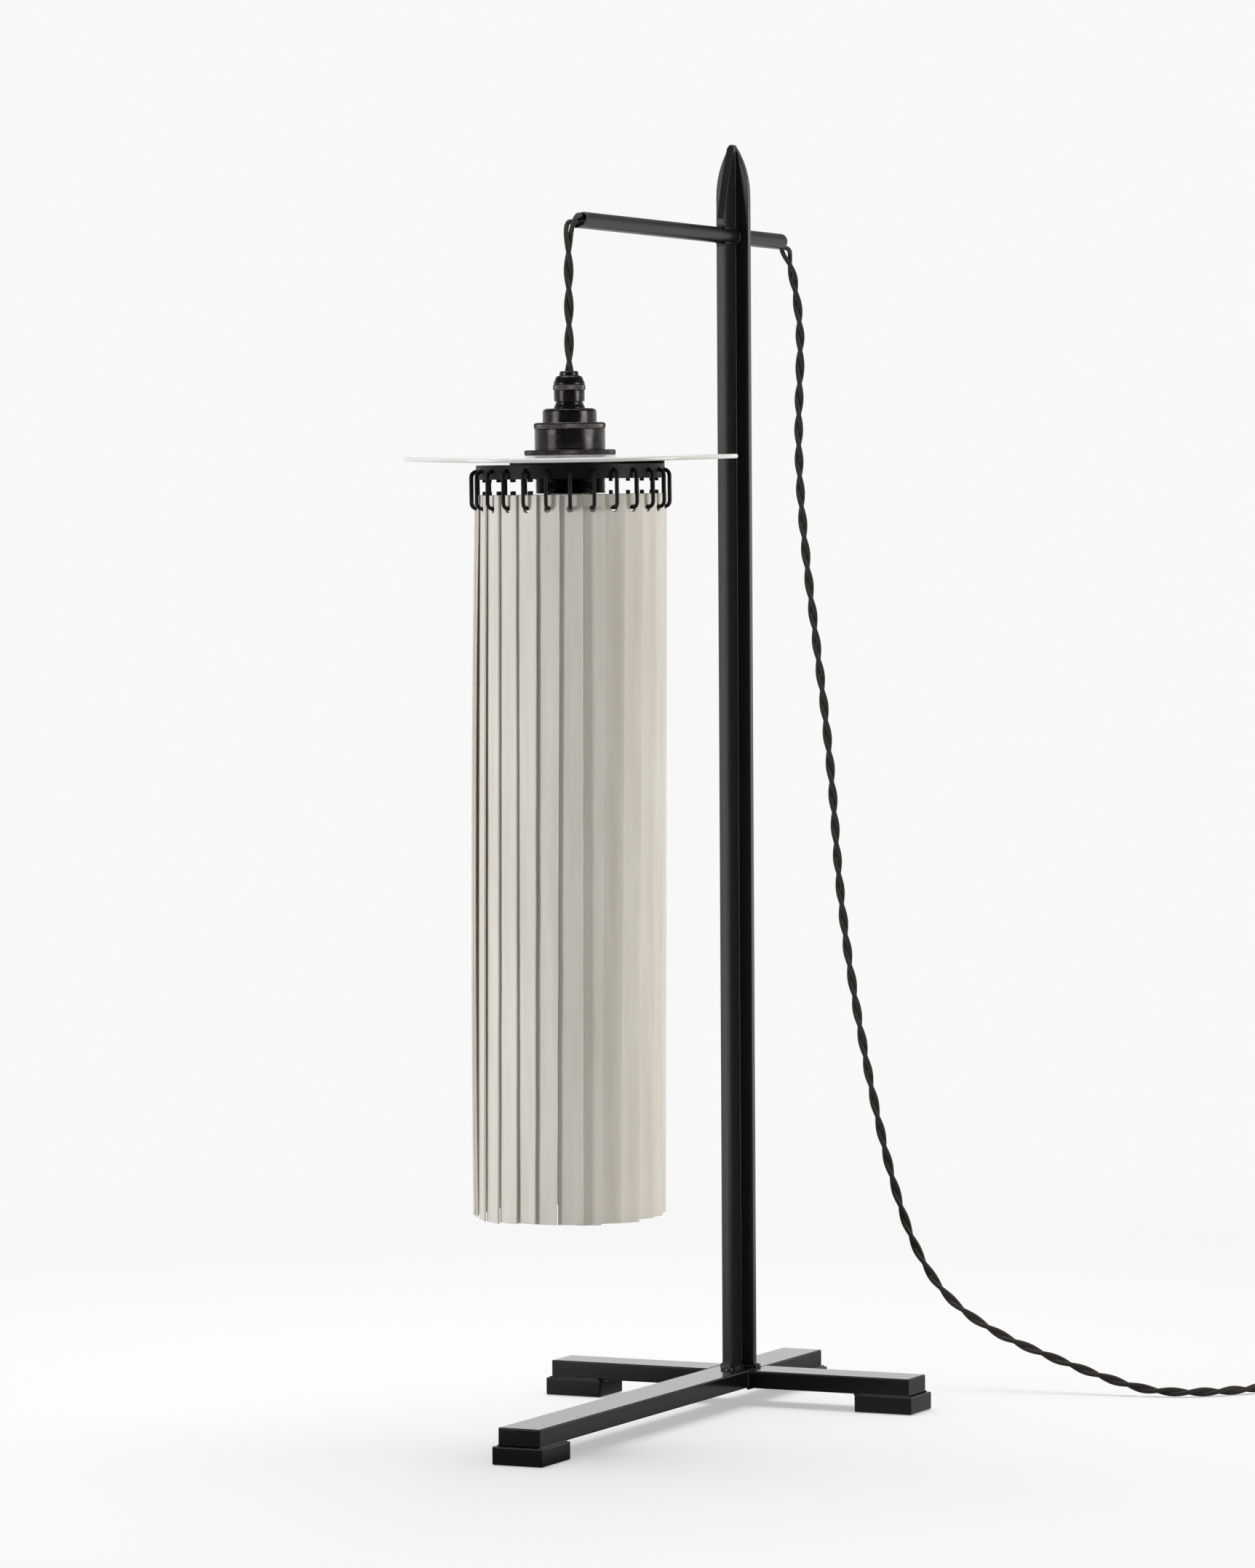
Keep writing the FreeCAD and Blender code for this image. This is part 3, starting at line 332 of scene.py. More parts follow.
def makeBraid(name):
    # a braided sleeve, two sets of threads crossing on the strand's own map
    finish = braidFinishes[name]
    material, tree, shader = newMaterial(name, finish["low"], 0.85, 0.0, 0.2)
    times, plus, minus = arithmetic(tree)
    spot = parted(tree, put(tree, "ShaderNodeTexCoord").outputs["UV"])
    turn = times(spot[0], 2 * math.pi * finish["around"])
    run = times(spot[1], 2 * math.pi * finish["along"])
    cross = times(calc(tree, "SINE", plus(turn, run)), calc(tree, "SINE", minus(turn, run)))
    height = calc(tree, "MULTIPLY_ADD", cross, 0.5, 0.5)
    # colour from fine flecks and from the weave's height: the low parts between threads are painted darker
    # as shade and the crests lighter
    flecksAndWeaveShade = calc(tree, "MULTIPLY_ADD", grain(tree, 2600, 3), 0.5, times(height, 0.6))
    tint(tree, shader, flecksAndWeaveShade, finish["low"], finish["high"], 0.25, 0.85)
    emboss(tree, shader, height, 0.7, 0.0003)
    adjust(shader, {"Sheen Weight": 0.15, "Sheen Roughness": 0.5})
    return material


def makePlastic():
    material, tree, shader = newMaterial("mouldedPlastic", (0.02, 0.02, 0.021), 0.45, 0.0, 0.4)
    tint(tree, shader, grain(tree, 70, 3), (0.016, 0.016, 0.017), (0.027, 0.027, 0.028))
    roughen(tree, shader, grain(tree, 300, 2), 0.38, 0.52)
    emboss(tree, shader, grain(tree, 1500, 2), 0.2, 0.0002)
    return material


def makeNickel():
    material, tree, shader = newMaterial("nickelPlate", (0.66, 0.63, 0.58), 0.25, 1.0)
    tint(tree, shader, grain(tree, 200, 3), (0.6, 0.57, 0.52), (0.7, 0.67, 0.62))
    roughen(tree, shader, grain(tree, 500, 4), 0.18, 0.34)
    return material


def makeOpalGlass():
    material, tree, shader = newMaterial("opalGlass", (0.93, 0.92, 0.89), 0.16)
    tint(tree, shader, grain(tree, 20, 2), (0.91, 0.9, 0.87), (0.95, 0.94, 0.91))
    roughen(tree, shader, grain(tree, 60, 2), 0.12, 0.2)
    adjust(shader, {"Subsurface Weight": 0.3, "Subsurface Scale": 0.004})
    return material


satinSteel = makeSatinSteel("satinBlackSteel")
# the base's steel is darker than the post's: painted shade
baseSteel = makeSatinSteel("shadedBaseSteel")
tubeSteel = makeSatinSteel("satinTubeSteel")
hookSteel = makeSatinSteel("blackWire")
bronze = makeBronze("blackenedBronze")
# the lighter bronze paints the knurled rings' highlight into their colour
paintedSheenBronze = makeBronze("paintedSheenBronze")
ringBronze = makeBronze("ringBronze")
glaze = makeGlaze()
bisque = makeBisque()
braid = makeBraid("braidedCord")
strapWeave = makeBraid("strapWeave")
plastic = makePlastic()
nickel = makeNickel()
opal = makeOpalGlass()
print("materials made")


# camera

cameraView = {"away": 3.58671, "azimuth": 24.542, "height": 0.478825, "aside": 0.972, "tilt": -1.96,
              "roll": -0.335, "focalPixels": 8600.0, "longSide": 2156.0, "sensor": 36.0, "farthest": 60}


def makeCamera():
    view = cameraView
    azimuth = math.radians(view["azimuth"])
    yaw = azimuth + math.radians(view["aside"])
    tilt, roll = math.radians(view["tilt"]), math.radians(view["roll"])
    away = view["away"]
    spot = Vector((away * math.sin(azimuth), crossY - away * math.cos(azimuth), view["height"]))
    level, up = Vector((-math.sin(yaw), math.cos(yaw), 0)), Vector((0, 0, 1))
    right = Vector((math.cos(yaw), math.sin(yaw), 0))
    forward = level * math.cos(tilt) + up * math.sin(tilt)
    top = up * math.cos(tilt) - level * math.sin(tilt)
    side = right * math.cos(roll) + top * math.sin(roll)
    crown = top * math.cos(roll) - right * math.sin(roll)
    data = bpy.data.cameras.new("photoCamera")
    data.sensor_width = view["sensor"]
    data.lens = view["sensor"] * view["focalPixels"] / view["longSide"]
    data.clip_end = view["farthest"]
    camera = newObject("photoCamera", data)
    turn = Matrix((side, crown, -forward)).transposed()
    camera.matrix_world = Matrix.Translation(spot) @ turn.to_4x4()
    stage.camera = camera


makeCamera()
print("camera placed")


# cords

cordSizes = {"strand": 1.34 * mm, "apart": 1.33 * mm, "sides": 12, "step": 1.5 * mm, "diameter": 5 * mm}
armAxis = 0.6684  # height of the cord's axis in the arm
# where the strands cross, seen from the camera, and half the length of a full turn beyond that
hangLay = {"crossings": (0.6519, 0.6326, 0.6125, 0.5928), "halfPitch": 19.8 * mm}
tailLay = {"crossings": (0.6567, 0.6414, 0.6243, 0.6072, 0.5881), "halfPitch": 18.0 * mm}
coilLay = {"crossings": (), "halfPitch": 18.0 * mm, "firstTurn": 0.2}


def splineLine(name, points):
    # points of a smooth curve through a route
    curve = newCurve(name)
    spline = addRun(curve, points, "NURBS")
    spline.order_u = 3
    spline.use_endpoint_u = True
    spline.resolution_u = 12
    helper = newObject(name, curve)
    mesh = evaluated(helper)
    line = [vertex.co.copy() for vertex in mesh.vertices]
    bpy.data.objects.remove(helper)
    bpy.data.meshes.remove(mesh)
    return line


def evenPoints(line, step):
    # the same line at even steps, with the step and the whole length
    lengths = [0.0]
    for before, after in zip(line, line[1:]):
        lengths.append(lengths[-1] + (after - before).length)
    total = lengths[-1]
    count = max(2, round(total / step))
    points, k = [], 0
    for i in range(count + 1):
        want = total * i / count
        while k < len(line) - 2 and lengths[k + 1] < want:
            k += 1
        gap = lengths[k + 1] - lengths[k]
        share = (want - lengths[k]) / gap if gap else 0
        points.append(line[k].lerp(line[k + 1], min(max(share, 0), 1)))
    return points, total / count, total


def carriedFrames(points):
    # two directions square to the line at each point, carried along it without twist
    headings = []
    for i in range(len(points)):
        before, after = points[max(i - 1, 0)], points[min(i + 1, len(points) - 1)]
        headings.append((after - before).normalized())
    side = Vector((1, 0, 0))
    frames = []
    for heading in headings:
        side = (side - heading * side.dot(heading)).normalized()
        frames.append((side, heading.cross(side)))
    return frames


def around(middle, side, up, angle, radius):
    return middle + (side * math.cos(angle) + up * math.sin(angle)) * radius


def layTurns(points, frames, step, lay, opening):
    # how far the strands have turned at each point, laid left-handed
    azimuth = math.radians(cameraView["azimuth"])
    view = Vector((math.sin(azimuth), -math.cos(azimuth), 0))
    marks = list(opening)
    for height in lay["crossings"]:
        i = next(k for k, point in enumerate(points) if point.z <= height)
        side, up = frames[i]
        turn = math.atan2(view.dot(up), view.dot(side))
        while marks and turn > marks[-1][1] - math.pi / 2:
            turn -= math.pi
        marks.append((i, turn))
    perPoint = math.pi * step / lay["halfPitch"]
    turns = []
    for i in range(len(points)):
        k = next((k for k, mark in enumerate(marks) if mark[0] >= i), len(marks))
        if k == 0:
            turns.append(marks[0][1] + perPoint * (marks[0][0] - i))
        elif k == len(marks):
            turns.append(marks[-1][1] - perPoint * (i - marks[-1][0]))
        else:
            (before, first), (after, last) = marks[k - 1], marks[k]
            turns.append(first + (last - first) * (i - before) / (after - before))
    return turns


def parting(more, at, half):
    # how much further apart the strands lie near one place of their run
    return lambda run: more * smoothStep(1 - abs(run - at) / half)


def twistedPair(name, line, lay, opening=(), spread=lambda run: 0):
    # two braided strands laid round each other along the line
    points, step, total = evenPoints(line, cordSizes["step"])
    frames = carriedFrames(points)
    turns = layTurns(points, frames, step, lay, opening)
    sides = cordSizes["sides"]
    work = bmesh.new()
    cover = work.loops.layers.uv.new("strandMap")
    for opposite in (0, math.pi):
        middles = []
        for i, (point, (side, up)) in enumerate(zip(points, frames)):
            wide = cordSizes["apart"] * (1 + spread(i * step))
            middles.append(around(point, side, up, turns[i] + opposite, wide))
        rings = []
        for middle, (side, up) in zip(middles, carriedFrames(middles)):
            angles = [2 * math.pi * k / sides for k in range(sides)]
            spots = [around(middle, side, up, a, cordSizes["strand"]) for a in angles]
            rings.append([work.verts.new(spot) for spot in spots])
        for i in range(len(rings) - 1):
            for k in range(sides):
                n = (k + 1) % sides
                face = work.faces.new((rings[i][k], rings[i][n], rings[i + 1][n], rings[i + 1][k]))
                uvs = ((k, i), (k + 1, i), (k + 1, i + 1), (k, i + 1))
                for loop, (u, v) in zip(face.loops, uvs):
                    loop[cover].uv = (u / sides, v * step)
        work.faces.new(list(reversed(rings[0])))
        work.faces.new(rings[-1])
    return finishMesh(name, keep(work, bpy.data.meshes.new(name)), 60), total


def splitByHeight(name, mesh, low, high):
    # the faces of a hanging cord between two heights
    work = workOn(mesh)
    drop = [f for f in work.faces if not low <= f.calc_center_median().z < high]
    bmesh.ops.delete(work, geom=drop, context="FACES")
    return finishPiece(name, keep(work, bpy.data.meshes.new(name)), 60)


# the strands rise a little and part where they leave the arm; the heights say where the cord's pieces
# meet, and between which the bend of each swing is spread
hangSizes = {"mouthHigh": 0.6696, "foot": 0.5549, "armEnd": 0.6579, "bightEnd": 0.6508,
             "sideBend": (0.6578, 0.6523), "foreBend": (0.6493, 0.6413),
             "mouthBefore": 14 * mm, "parted": 0.7, "partedAt": 4 * mm, "partedHalf": 16 * mm}
hangRoute = [(0, 0.164, armAxis), (0, 0.05, armAxis), (0, -0.04, armAxis),
             (0, hangY + 0.021, hangSizes["mouthHigh"]), (0, hangY, hangSizes["mouthHigh"]),
             (0, hangY, hangSizes["mouthHigh"] - 0.022), (0, hangY, 0.61), (0, hangY, 0.58),
             (0, hangY, hangSizes["foot"])]


def makeHangingCord():
    size = hangSizes
    line = splineLine("hangLine", [Vector(p) for p in hangRoute])
    points, step, _ = evenPoints(line, cordSizes["step"])
    # one strand above the other at the mouth
    mouth = next(i for i, p in enumerate(points) if p.y <= hangY + size["mouthBefore"])
    spread = parting(size["parted"], mouth * step + size["partedAt"], size["partedHalf"])
    whole, _ = twistedPair("hangingPair", line, hangLay, [(mouth, math.pi / 2)], spread)
    arm = splitByHeight("armCordPair", whole, size["armEnd"], 1.0)
    bight = splitByHeight("bightPair", whole, size["bightEnd"], size["armEnd"])
    pendant = splitByHeight("pendantPair", whole, 0.0, size["bightEnd"])
    for piece in (arm, bight, pendant):
        paint(piece, braid)
    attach(arm, "stand")
    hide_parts("cord_in_arm")
    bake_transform(bight)
    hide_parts("cord_bight")
    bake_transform(pendant)
    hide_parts("pendant_cord")


# the free cord's route, from the arm's rear end to the switch, in millimetres; y is from that end
tailRoute = [
    (0, -9, 668.4), (0, 4, 668.4), (0.3, 13.5, 657), (1, 19.5, 641), (3, 21, 621), (3.2, 20.3, 598),
    (2.4, 19.5, 570), (2.6, 19, 541), (4.5, 18.8, 510), (8, 19.1, 476), (13, 19.5, 436), (18.5, 20.5, 390),
    (22.5, 21.5, 345), (25, 22.5, 300), (30, 23.5, 255), (37.5, 24.5, 210), (46, 26, 165),
    (56.3, 28, 120.3), (69.5, 30, 80.5), (89.5, 32, 51.5), (119, 35, 32.8), (150, 38.3, 21),
    (181, 41.5, 10.5), (207, 44, 3.6), (227, 48.5, 2.6), (243, 59, 2.6), (256, 74.5, 2.6),
    (267, 90.5, 3.4), (278, 105, 6.2), (288, 117.5, 7),
]
tailSizes = {"rearEnd": crossY + 69.5 * mm, "parted": 0.5, "partedAt": 17 * mm, "partedHalf": 12 * mm}


def makeTail():
    size = tailSizes
    points = [Vector((x * mm, size["rearEnd"] + y * mm, z * mm)) for x, y, z in tailRoute]
    line = splineLine("tailLine", points)
    spread = parting(size["parted"], size["partedAt"], size["partedHalf"])
    mesh, total = twistedPair("tailPair", line, tailLay, (), spread)
    piece = newObject("tailPair", mesh)
    paint(piece, braid)
    settle(piece, "stand", "cord_fabric", "cord_tail")
    return points


coilSizes = {"switch": 62 * mm, "lead": 28 * mm, "leadShare": 0.55, "leadHigh": 5.2 * mm,
             "radius": 34 * mm, "step": 6.4 * mm, "layer": 5.6 * mm, "low": 3.7 * mm, "turns": 4,
             "climb": 0.5, "perTurn": 24, "straight": 5 * mm, "plugLead": 34 * mm, "plugHigh": 6.8 * mm,
             "plugRun": ((0.25, 9.2 * mm), (0.6, 7.8 * mm), (0.85, 6.8 * mm))}


def coilRoute(tailPoints):
    # in on the floor, up a layer at the inner turn, and out again to the plug
    size = coilSizes
    end = tailPoints[-1]
    heading = Vector((end.x - tailPoints[-2].x, end.y - tailPoints[-2].y, 0)).normalized()
    leave = end + heading * size["switch"]
    start = leave + heading * size["lead"]
    right = Vector((heading.y, -heading.x, 0))
    centre = start + right * size["radius"]
    first = math.atan2(-right.y, -right.x)
    sweep = first % (2 * math.pi) + size["turns"] * 2 * math.pi
    whole = sweep / (2 * math.pi)
    oneWay = (whole - size["climb"]) / 2
    half = leave.lerp(start, size["leadShare"])
    route = [leave, leave + heading * size["straight"], Vector((half.x, half.y, size["leadHigh"]))]
    count = round(whole * size["perTurn"])
    for i in range(count + 1):
        wound = whole * i / count
        inBy = min(wound, oneWay) - max(wound - oneWay - size["climb"], 0)
        radius = size["radius"] - size["step"] * inBy
        high = size["low"] + size["layer"] * smoothStep((wound - oneWay) / size["climb"])
        a = first - wound * 2 * math.pi
        route.append(Vector((centre.x + radius * math.cos(a), centre.y + radius * math.sin(a), high)))
    last = route[-1]
    for share, high in size["plugRun"]:
        route.append(Vector((last.x, last.y - size["plugLead"] * share, high)))
    route.append(Vector((last.x, last.y - size["plugLead"] - size["straight"], size["plugHigh"])))
    return route, leave


def makeCoil(tailPoints):
    route, leave = coilRoute(tailPoints)
    line = splineLine("coilLine", route)
    mesh, total = twistedPair("coilPair", line, coilLay, [(0, coilLay["firstTurn"])])
    piece = newObject("coilPair", mesh)
    paint(piece, braid)
    settle(piece, "stand", "cord_fabric", "cord_coil")


makeHangingCord()
makeCoil(makeTail())
print("cords laid")


# turned pieces of the lampholder, in millimetres; an outline gives radius and height, and at some corners
# a rounding of its own

turnedPieces = {
    "gland_cap": {"rounding": 0.3, "outline": [
        (3.3, 579.4), (8.55, 579.4, 0.2), (8.5, 580.2, 0.3), (7.2, 583.4, 0.4), (6.2, 584.2, 0.4),
        (5.3, 584.2, 0.3), (5.1, 586.2, 0.5), (4.4, 586.7, 0.3), (3.3, 586.7, 0.4)]},
    "gland_body": {"rounding": 0.2, "outline": [
        (3.3, 562), (4.1, 562), (4.1, 566.5), (8.6, 566.5, 0.3), (8.5, 567.1, 0.5), (7.7, 568.6, 1.0),
        (7.6, 569.6), (7.2, 569.7), (7.2, 570.2), (8.25, 570.3, 0.3), (8.35, 572.6, 0.2), (8.35, 576.2),
        (3.3, 576.2)]},
    "holder_cap": {"rounding": 0.3, "outline": [
        (15.6, 556.6), (18.4, 556.6), (18.4, 557.8), (14.7, 557.8), (14.7, 564.4, 1.2), (14.4, 565.7, 1.0),
        (13.0, 566.5, 0.9), (4.2, 566.5), (4.2, 565.1), (10.7, 565.1, 1.2), (13.3, 562.5, 1.0),
        (13.3, 557.8)]},
}
shadeRing = {"metal": ringBronze, "segments": 1182, "teeth": 197.0, "depth": 0.26, "twist": 0.0,
             "outer": 24.8, "rounding": 0.5, "rows": 1}
ridgedPieces = {
    "gland_collar": {
        "metal": paintedSheenBronze, "segments": 474, "teeth": 79.0, "depth": 0.22, "twist": 1400.0, "outer": 8.8,
        "rounding": 0.35, "low": 576.5, "high": 579.1, "rows": 6, "outline": [
            (3.3, 576.2), (8.3, 576.2), (8.8, 576.6), (8.8, 579.0), (8.3, 579.4), (3.3, 579.4)]},
    "cap_ring": {
        "metal": paintedSheenBronze, "segments": 690, "teeth": 115.0, "depth": 0.27, "twist": 0.0, "outer": 19.5,
        "rounding": 0.6, "low": 555.6, "high": 558.7, "rows": 1, "outline": [
            (18.5, 555.3), (18.9, 555.3), (19.5, 556.0), (19.5, 558.1), (18.6, 558.9), (14.8, 558.9),
            (14.8, 557.8), (18.5, 557.8)]},
    "shade_ring_upper": {
        **shadeRing, "low": 541.5, "high": 543.9, "outline": [
            (19.1, 541.3), (24.3, 541.3), (24.8, 541.8), (24.8, 543.5), (24.3, 544.1), (19.1, 544.1)]},
    "shade_ring_lower": {
        **shadeRing, "low": 533.6, "high": 536.0, "outline": [
            (19.1, 533.4), (24.3, 533.4), (24.8, 533.9), (24.8, 535.6), (24.3, 536.2), (19.1, 536.2)]},
    "holder_skirt": {
        "metal": bronze, "segments": 144, "teeth": 1.0, "depth": 0.62, "twist": 2 * math.pi * 952.0,
        "outer": 19.0, "rounding": 0.25, "low": 520.9, "high": 544.0, "rows": 132, "outline": [
            (17.8, 520.6), (19.0, 520.6, 0.1), (19.0, 544.6, 0.05), (19.2, 544.6), (19.2, 555.3),
            (18.4, 555.3), (18.4, 556.6), (17.8, 556.6)]},
}
# how far below the outer wall the ridges reach, and where they run out at their ends
ridgeFade = {"root": 0.9 * mm, "crest": 0.15 * mm, "runOut": 0.4 * mm}


def roundedOutline(outline, rounding):
    # softens each corner of a closed outline
    count = len(outline)
    soft = []
    for i, point in enumerate(outline):
        here = Vector(point[:2])
        before, after = Vector(outline[i - 1][:2]), Vector(outline[(i + 1) % count][:2])
        want = point[2] if len(point) > 2 else rounding
        reach = min(want, 0.45 * (before - here).length, 0.45 * (after - here).length)
        if reach <= 0:
            soft.append(here)
            continue
        start = here + (before - here).normalized() * reach
        end = here + (after - here).normalized() * reach
        for share in (0.0, 0.25, 0.5, 0.75, 1.0):
            soft.append(start.lerp(here, share).lerp(here.lerp(end, share), share))
    return soft


def turnedMesh(name, outline, rounding, segments=128):
    profile = roundedOutline(outline, rounding)
    count = len(profile)
    points, faces = [], []
    for i in range(segments):
        a = 2 * math.pi * i / segments
        points += [(r * mm * math.cos(a), hangY + r * mm * math.sin(a), z * mm) for r, z in profile]
    for i in range(segments):
        n = (i + 1) % segments
        for j in range(count):
            k = (j + 1) % count
            faces.append((i * count + j, n * count + j, n * count + k, i * count + k))
    mesh = bpy.data.meshes.new(name)
    mesh.from_pydata(points, [], faces)
    return finishMesh(name, cleanMesh(mesh), 50)


def makeRidgeTree():
    # presses teeth or a screw thread into the outer wall of a turned piece
    tree, start, end = newTree("ridges", {"Teeth": 90.0, "Depth": 0.0003, "Twist": 0.0, "Outer": 0.02,
                                          "Low": 0.0, "High": 1.0})
    times, plus, minus = arithmetic(tree)
    size, fade = start.outputs, ridgeFade
    x, rawY, z = parted(tree, shape(tree, "InputPosition"))
    y = minus(rawY, hangY)
    flat = joined(tree, x, y)
    radius = vectorCalc(tree, "LENGTH", {0: flat}, "Value")
    outward = vectorCalc(tree, "NORMALIZE", {0: flat})
    turn = times(calc(tree, "ARCTAN2", y, x), size["Teeth"])
    phase = plus(turn, times(z, size["Twist"]))
    wave = calc(tree, "MULTIPLY_ADD", calc(tree, "COSINE", phase), 0.5, 0.5)
    rim = ramp(tree, radius, minus(size["Outer"], fade["root"]), minus(size["Outer"], fade["crest"]))
    foot = ramp(tree, minus(z, size["Low"]), 0.0, fade["runOut"])
    head = ramp(tree, minus(size["High"], z), 0.0, fade["runOut"])
    share = times(times(rim, wave), times(foot, head))
    inward = times(times(share, size["Depth"]), -1.0)
    push = vectorCalc(tree, "SCALE", {0: outward, "Scale": inward})
    moved = shape(tree, "SetPosition", {"Geometry": size["Geometry"], "Offset": push})
    closeTree(tree, start, end, moved)
    return tree


def splitRows(outline, rows, outer):
    # divides the straight outer wall so that slanted ridges have points to move
    divided = []
    for i, point in enumerate(outline):
        divided.append(point)
        after = outline[(i + 1) % len(outline)]
        if point[0] == outer and after[0] == outer:
            for k in range(1, rows):
                divided.append((outer, point[1] + (after[1] - point[1]) * k / rows, 0))
    return divided


def makeHolder():
    for name, size in turnedPieces.items():
        piece = newObject(name + "Turned", turnedMesh(name + "Turned", size["outline"], size["rounding"]))
        piece.data.transform(shadeTilt)
        paint(piece, bronze)
        settle(piece, "shade", "dark_brass", name)
    tree = makeRidgeTree()
    for name, size in ridgedPieces.items():
        outline = splitRows(size["outline"], size["rows"], size["outer"])
        blank = turnedMesh(name + "Blank", outline, size["rounding"], size["segments"])
        values = {"Teeth": size["teeth"], "Depth": size["depth"] * mm, "Twist": size["twist"],
                  "Outer": size["outer"] * mm, "Low": size["low"] * mm, "High": size["high"] * mm}
        mesh = grow(name, blank, tree, size["metal"], values)
        mesh.transform(shadeTilt)
        settle(finishPiece(name + "Ridged", mesh, 60), "shade", "dark_brass", name)


makeHolder()
print("lampholder turned")


# porcelain disc, a little warped as fired porcelain is, in millimetres

discSizes = {"bore": 19.1, "radius": 91.0, "foot": 539.2, "top": 541.3, "rim": 1.0, "rimSteps": 10,
             "rings": 26, "segments": 240, "sag": 2.0, "droop": 0.4, "wave": 0.12, "waves": 3,
             "waveStart": 0.7, "thicker": 0.3, "front": math.radians(-64.5), "clamp": 27.0}


def makeDisc():
    size = discSizes
    flatEnd, rings = size["radius"] - size["rim"], size["rings"]
    profile = []
    for i in range(rings):
        profile.append((size["bore"] + (flatEnd - size["bore"]) * i / (rings - 1), size["foot"]))
    middle, half = (size["foot"] + size["top"]) / 2, (size["top"] - size["foot"]) / 2
    for k in range(1, size["rimSteps"]):
        a = -math.pi / 2 + math.pi * k / size["rimSteps"]
        profile.append((flatEnd + size["rim"] * math.cos(a), middle + half * math.sin(a)))
    profile += [(r, size["top"]) for r, _ in reversed(profile[:rings])]
    mesh = turnedMesh("discBlank", [(r, z, 0) for r, z in profile], 0, size["segments"])
    for vertex in mesh.vertices:
        x, y = vertex.co.x / mm, (vertex.co.y - hangY) / mm
        out = max(0.0, math.hypot(x, y) - size["clamp"]) / (size["radius"] - size["clamp"])
        a = math.atan2(y, x) - size["front"]
        warp = size["wave"] * math.sin(size["waves"] * a + size["waveStart"])
        warp -= size["sag"] * max(0.0, math.cos(a)) ** 2
        warp -= size["droop"] * max(0.0, math.sin(a)) ** 2
        if vertex.co.z < middle * mm:
            warp -= size["thicker"]
        vertex.co.z += mm * smoothStep(out) * warp
    mesh.transform(shadeTilt)
    piece = finishPiece("porcelainDisc", mesh, 50)
    paint(piece, glaze)
    settle(piece, "shade", "disc_porcelain", "porcelain_disc")


makeDisc()
print("disc made")


# wire links, one shape set round the band, in millimetres

linkSizes = {"ring": 50.2, "out": 3.9, "inside": 3.2, "top": 532.9, "foot": 512.8, "bend": 3.2,
             "innerBend": 2.0, "upperStub": 6.0, "lowerStub": 9.2, "wire": 1.05, "count": 26,
             "first": 25.7, "bendSteps": 7}


def linkPath():
    size = linkSizes
    out, inside = size["ring"] + size["out"], size["ring"] - size["inside"]
    corners = [(inside, size["top"], size["innerBend"]), (out, size["top"], size["bend"]),
               (out, size["foot"], size["bend"]), (inside, size["foot"], size["innerBend"])]
    ends = [(inside, size["top"] - size["upperStub"]), (inside, size["foot"] + size["lowerStub"])]
    chain = [ends[0], *corners, ends[1]]
    path = [Vector(ends[0])]
    for before, (u, z, bend), after in zip(chain, corners, chain[2:]):
        here = Vector((u, z))
        towardIn = (Vector(before[:2]) - here).normalized()
        towardOut = (Vector(after[:2]) - here).normalized()
        centre = here + (towardIn + towardOut) * bend
        for k in range(size["bendSteps"] + 1):
            a = math.pi / 2 * k / size["bendSteps"]
            path.append(centre - towardOut * bend * math.cos(a) - towardIn * bend * math.sin(a))
    path.append(Vector(ends[1]))
    return [Vector((0, -p.x * mm, p.y * mm)) for p in path]


def makeLinkTree():
    tree, start, end = newTree("links", {"Wire": 0.001, "Count": 26, "First": 0.0})
    size = start.outputs
    section = shape(tree, "CurvePrimitiveCircle", {"Resolution": 12, "Radius": size["Wire"]})
    wire = shape(tree, "CurveToMesh", {"Curve": size["Geometry"], "Profile Curve": section,
                                       "Fill Caps": True})
    places = shape(tree, "MeshLine", {"Count": size["Count"], "Offset": (0, 0, 0)})
    step = calc(tree, "DIVIDE", 2 * math.pi, size["Count"])
    turn = calc(tree, "MULTIPLY_ADD", shape(tree, "InputIndex"), step, size["First"])
    ring = shape(tree, "InstanceOnPoints", {"Points": places, "Instance": wire,
                                            "Rotation": joined(tree, z=turn)})
    moved = shape(tree, "Transform", {"Geometry": ring, "Translation": (0, hangY, 0)})
    closeTree(tree, start, end, moved)
    return tree


def makeLinks():
    size = linkSizes
    curve = newCurve("linkPath")
    addRun(curve, linkPath())
    values = {"Wire": size["wire"] * mm, "Count": size["count"], "First": math.radians(size["first"])}
    mesh = grow("links", curve, makeLinkTree(), hookSteel, values)
    mesh.transform(shadeTilt)
    settle(finishPiece("wireLinks", cleanMesh(mesh), 60), "shade", "black_steel", "wire_links")


makeLinks()
print("links hung")


# porcelain strips, each one a little uneven, in millimetres and degrees

stripSizes = {"count": 26, "first": 25.7, "shingle": 8.5, "ring": 50.2, "pivot": 512.8, "width": 13.5,
              "thick": 1.1, "length": 391.5, "head": 7.15, "hole": 1.9, "holeDrop": 0.55, "wave": 0.15,
              "edge": 0.5, "lean": 3.2, "leanTo": 205.5, "seed": 7, "seedStep": 11.0}
# the furthest that an unseen strip's foot sways, its length differs and it bows, and that any strip twists
stripChance = {"sway": 1.5, "longer": 0.6, "bow": 0.4, "bowBack": 0.3, "twistTop": 0.6, "twistFoot": 1.5}
# sway of the foot, added length and bow of the strips seen in front
stripSway = {20: (0.0, 0.0, -1.5), 21: (0.0, -0.5, -1.5), 22: (0.8, 0.5, -0.4), 23: (1.0, 0.6, 0.1),
             24: (1.6, 0.0, 0.2), 25: (0.1, -0.4, 0.0), 26: (-0.6, -0.15, 0.2), 1: (1.0, 0.0, 0.1),
             2: (-1.2, 0.5, 0.3), 3: (-1.6, 0.1, 0.0), 4: (-1.6, 0.5, 0.2), 5: (-0.4, -0.4, 0.1),
             6: (0.1, -0.2, 0.0), 7: (1.0, -0.7, 0.0)}
